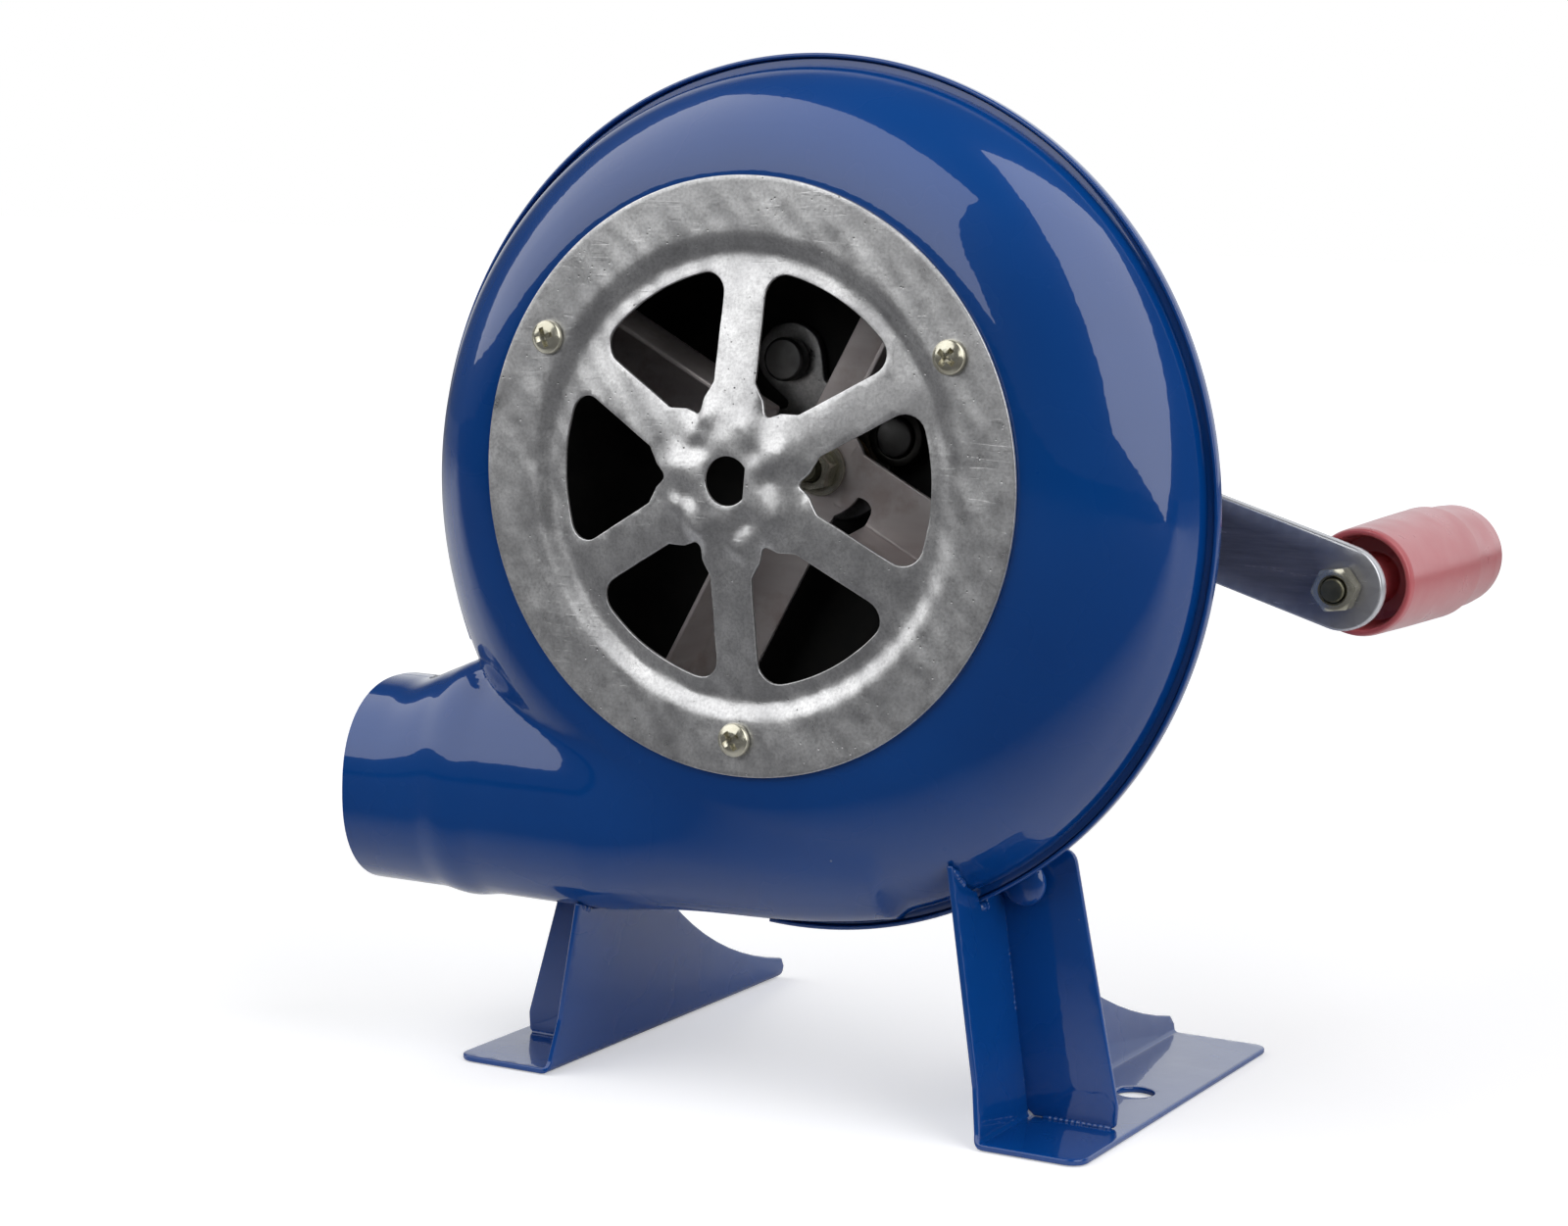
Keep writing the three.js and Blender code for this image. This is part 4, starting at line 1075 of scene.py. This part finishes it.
small_part("idler_stud", turning([
    (0, 47.2), (5.0, 47.2, 0.5), (5.6, 47.8, 0.4), (5.6, 51.2, 0.3), (4, 51.2), (4, 58), (3, 58, 0.2),
    (3, 72.5, 0.4), (0, 72.5)], 48, IDLER), STUD_STEEL, "housing", "idler_pin")
small_part("fan_bearing_bush", turning([
    (4.3, 48.5, 0.4), (9, 48.5, 0.6), (9, 51.2, 0.3), (7, 51.2), (7, 58, 0.4), (4.3, 58, 0.3)], 56),
    BRONZE, "housing", "fan_bush")
# The inner bush takes the bronze darkened as painted shade, since it sits inside the housing; the outer one
# the plain bronze.
for name, front, back, corners, bronze, node in (
        ("crank_inner_bush", 49.5, 60.5, (0.4, 0.5, 0.4, 0.3), SHADED_BRONZE, "crank_front_bush"),
        ("crank_outer_bush", 71.0, 75.4, (0.3, 0.4, 0.5, 0.4), BRONZE, "crank_rear_bush")):
    ends = ((5.3, front), (7.5, front), (7.5, back), (5.3, back))
    bush = turning([(*end, corner) for end, corner in zip(ends, corners)], 56, CRANK)
    small_part(name, bush, bronze, "housing", node)
small_part("fan_washer_disc", turning([
    (3.3, 39.7, 0.15), (7, 39.7, 0.25), (7, 40.7, 0.15), (3.3, 40.7)], 56, steps=2),
    ZINC, "fan", "fan_washer")
small_part("fan_hex_nut", hex_nut(10, 3.25, 34.4, 39.4, FAN, 12), ZINC, "fan", "fan_nut")
small_part("fan_spindle", merge(threaded(3.0, 33.0, 41.0, FAN, 1.0), turning([
    (0, 40.9), (3, 40.9), (3, 42.5), (4, 42.5, 0.3), (4, 64.8, 0.5), (0, 64.8)])),
    DARK_THREAD, "fan", "fan_shaft")
small_part("crank_spindle", merge(threaded(4.0, 76.2, 89.0, CRANK, 1.25), turning([
    (0, 48.5), (5, 48.5, 0.6), (5, 75.7, 0.3), (4, 75.7), (4, 76.4), (0, 76.4)], 48, CRANK)),
    STUD_STEEL, "crank", "crank_shaft")
small_part("crank_washer_disc", turning([
    (4.3, 80.3, 0.15), (9, 80.3, 0.2), (9, 81.6, 0.35), (4.3, 81.6, 0.2)], 64, CRANK, 2),
    ZINC, "crank", "crank_washer")
for name, nut, node in (
        ("crank_hex_nut", hex_nut(13, 4.3, 81.9, 88.2, CRANK, 20), "crank_nut"),
        ("grip_hex_nut", hex_nut(10, 3.3, 70.7, 75.7, GRIP, 8), "grip_nut"),
        ("grip_jam_nut", hex_nut(10, 3.3, 80.3, 85.3, GRIP, 41), "grip_lock_nut")):
    small_part(name, nut, ZINC, "crank", node)
small_part("grip_sleeve", turning([
    (3.3, 85.6, 0.2), (5, 85.6, 0.3), (5, 90.7, 0.3), (3.3, 90.7, 0.2)], 40, GRIP, 2),
    ZINC, "crank", "grip_spacer")
small_part("grip_through_bolt", merge(threaded(3.0, 69.5, 92.0, GRIP, 1.0), turning([
    (0, 91.9), (3, 91.9), (3, 162), (5.2, 162, 0.2), (5.2, 165.5, 0.8), (0, 165.5)], 40, GRIP, 4)),
    DARK_THREAD, "crank", "grip_bolt")
for k, centre in enumerate(RIVETS):
    small_part(f"bracket_dome_rivet_{k + 1}", turning([
        (0, 49.9), (2.0, 50.0, 1.5), (3.0, 51.2, 0.3), (1.6, 51.2), (1.6, 56.4, 0.3), (0, 56.4)],
        32, centre, 4), STEEL, "housing", f"bracket_rivet_{k + 1}")


# ---- crank arm and hand grip ----
ARM_LENGTH = math.hypot(GRIP[0] - CRANK[0], GRIP[1] - CRANK[1])
ARM_TURN = math.degrees(math.atan2(GRIP[1] - CRANK[1], GRIP[0] - CRANK[0]))
ARM_HALF = 10.5
ARM_END = (ARM_LENGTH, 0)
bar = [polar(ARM_HALF, t) for t in np.linspace(90, 270, 41)]
bar += [polar(ARM_HALF, t, ARM_END) for t in np.linspace(-90, 90, 41)]
arm = make_object("crank_bar", plate(
    np.array(bar), [circle(4.3, count=36), circle(3.3, ARM_END, 32)], 4.0,
    facing(CRANK, 76.0, ARM_TURN), edge=0.7, spacing=4.0, side=1.5))
finish_piece(arm, ARM_PLATE, "crank", ["crank_arm"], 50)

grip = make_object("moulded_grip", turning([
    (3.6, 91.0), (6.0, 91.0, 0.4), (6.4, 102.0, 0.5), (10.8, 102.0, 0.5), (11.6, 91.2, 0.6),
    (11.9, 90.0, 0.5), (13.1, 90.0, 0.7), (13.5, 92.0, 1.0), (14.15, 118.0, 40), (14.5, 138.0, 6),
    (14.6, 143.0, 0.4), (14.3, 143.5, 0.2), (13.7, 143.7, 0.3), (13.6, 160.0, 20), (13.2, 167.6, 6.0),
    (9.8, 171.6, 3.6), (7.2, 172.0, 1.0), (6.5, 171.0, 0.6), (6.5, 161.4, 0.4), (3.6, 161.4, 0.2)],
    128, GRIP, 6))
finish_piece(grip, RED, "grip", ["hand_grip"], 34)


# ---- fan wheel ----
ARMS, FIRST_ARM = 4, 62  # how many, and the first one's angle in degrees
ARM_REACH = 80.0


def wheel():
    """A hub disc with arms; each arm's lower edge folds forward into a paddle."""
    fold, bend, thick, front, depth = -7.3, 1.9, 1.2, 41.0, 15.6
    start = fold + bend
    paddle = start - bend * math.pi / 2 - depth
    corners = [
        (8.0, 9.0), (ARM_REACH, 9.0, 2.5), (ARM_REACH, paddle, 2.5), (20.4, paddle, 1.6),
        (17.6, fold - 0.5, 6.0), (17.4, -0.6, 2.7), (12.2, -0.9, 2.4), (9.4, -7.0, 1.0), (6.0, -6.0)]
    rows = np.concatenate([
        np.arange(paddle + 1.5, fold - 1.2, 3.0), np.arange(fold - 1.0, fold + 2.2, 0.4),
        np.arange(fold + 3.5, 7.5, 3.0)])
    spots = dotted_rows(7, ARM_REACH, rows, offset=1)

    def place_arm(turn):
        def place(u, v, w):
            """u runs outwards; v runs across the arm, then down round the fold into the paddle."""
            over = start - v
            angle = np.clip(over / bend, 0, math.pi / 2)
            past = np.maximum(over - bend * math.pi / 2, 0)
            radius = bend - thick + w
            y = np.where(over < 0, front + w, front - bend + thick + radius * np.cos(angle) - past)
            x, z = rotated(u, np.where(over < 0, v, start - radius * np.sin(angle)), turn)
            return x, y, z
        return place

    # The disc stands 0.02 proud of the arms on both faces, so that the joined faces never coincide.
    whole = make_object("paddle_wheel", plate(
        circle(12.5, count=72), [circle(3.3, count=36)], thick + 0.04, facing(front=front - 0.02)))
    for k in range(ARMS):
        turn = FIRST_ARM + 360 // ARMS * k
        boolean(whole, plate(fillet(corners), [], thick, place_arm(turn), points=spots, side=0.8), "UNION")
    return whole


finish_piece(wheel(), BLADE, "fan", ["fan_wheel"], 45)


# ---- gears stay as the CAD made them, with small bevels and a steel finish ----
for node in ("fan_pinion", "idler_gear", "idler_pinion", "crank_gear"):
    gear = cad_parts[node]
    gear.data.materials.clear()
    gear.data.materials.append(STEEL)
    small = gear.modifiers.new("edge", "BEVEL")
    small.width = 0.00008
    small.segments = 1
    small.limit_method = "ANGLE"
    small.angle_limit = math.radians(40)


# ---- floor and light ----
def floor_material():
    """A pale floor that fades into the white studio; it is dim in reflections from the front."""
    n = Nodes("pale_floor")
    camera = n.seen_by_camera()
    front_edge = n.span(n.add("SeparateXYZ", {0: n.place})["Y"], -0.21, -0.075)
    shown = n.blend(n.span(n.noise(3, 2)), (0.79, 0.79, 0.80), (0.81, 0.81, 0.82))
    reflected = n.blend(front_edge, (0.09, 0.09, 0.095), (0.82, 0.82, 0.83))
    distance = n.add("VectorMath", {0: n.place}, operation="LENGTH")["Value"]
    fade = n.span(distance, 0.3, 1.6, 0.42, 1.0)
    n.set(Base_Color=n.blend(camera, reflected, shown), Roughness=0.8, Specular_IOR_Level=0.0)
    n.set(Emission_Color=(1, 1, 1), Emission_Strength=n.math("MULTIPLY", fade, camera))
    return n.material


def add_floor():
    half, just_below = 9, -0.0003
    corners = [(x * half, y * half, just_below) for x, y in ((-1, -1), (1, -1), (1, 1), (-1, 1))]
    mesh = bpy.data.meshes.new("floor")
    mesh.from_pydata(corners, [], [[0, 1, 2, 3]])
    mesh.materials.append(floor_material())
    add_object("floor", mesh)


def stand(x, y, z, place):
    """A matrix with these three axes, at this place."""
    turned = Matrix([[x[k], y[k], z[k], 0] for k in range(3)] + [[0, 0, 0, 1]])
    return Matrix.Translation(place) @ turned


def softbox(name, toward, tall, distance, width, height, radiance):
    """A soft light facing the housing. toward points at it from there; tall is its long direction."""
    lamp = bpy.data.lights.new(name, "AREA")
    lamp.shape = "RECTANGLE"
    lamp.size = width
    lamp.size_y = height
    lamp.energy = radiance * math.pi * width * height
    z = Vector(toward).normalized()
    x = Vector(tall).cross(z).normalized()
    housing = Vector((0, 0, 0.15))
    add_object(name, lamp).matrix_world = stand(x, z.cross(x), z, housing + z * distance)


def studio():
    """White to the camera; for light and reflections, dim in front with a bright backdrop behind."""
    world = bpy.data.worlds.new("studio")
    t = Tree(world)
    behind = t.add("SeparateXYZ", {0: t.add("TexCoord", {})["Generated"]})["Y"]
    backdrop = t.span(behind, 0.55, 0.85, 0.07, 0.95)
    soft = t.add("Background", {"Color": (0.95, 0.97, 1.0), "Strength": backdrop})[0]
    white = t.add("Background", {"Color": (1, 1, 1)})[0]
    t.add("OutputWorld", {0: t.add("MixShader", {0: t.seen_by_camera(), 1: soft, 2: white})[0]})
    return world


def add_camera(azimuth, elevation, roll, lens, place):
    """Angles are in degrees: round from the front, up from level, and round the line of sight."""
    azimuth, elevation, roll = (math.radians(a) for a in (azimuth, elevation, roll))
    forward = np.array([
        -math.sin(azimuth) * math.cos(elevation), math.cos(azimuth) * math.cos(elevation),
        -math.sin(elevation)])
    level_right = np.array([math.cos(azimuth), math.sin(azimuth), 0.0])
    level_up = np.cross(level_right, forward)
    right = level_right * math.cos(roll) + level_up * math.sin(roll)
    up = -level_right * math.sin(roll) + level_up * math.cos(roll)
    camera = add_object("camera", bpy.data.cameras.new("camera"))
    camera.data.sensor_width = 36
    camera.data.lens = lens
    camera.data.clip_start = 0.01
    camera.data.clip_end = 60
    camera.matrix_world = stand(right, up, -forward, place)
    bpy.context.scene.camera = camera


add_floor()
softbox("softbox_left", (-0.576, -0.537, 0.616), (0, 0, 1), 1.3, 2.2, 1.6, 1.55)
softbox("softbox_right", (0.767, -0.214, 0.605), (-0.38, 0.59, 0.715), 1.3, 1.1, 2.05, 2.1)
bpy.context.scene.world = studio()
bpy.context.scene.view_settings.view_transform = "Standard"
add_camera(28.45, 7.56, 1.25, 76.19, (0.374493, -0.770373, 0.229676))
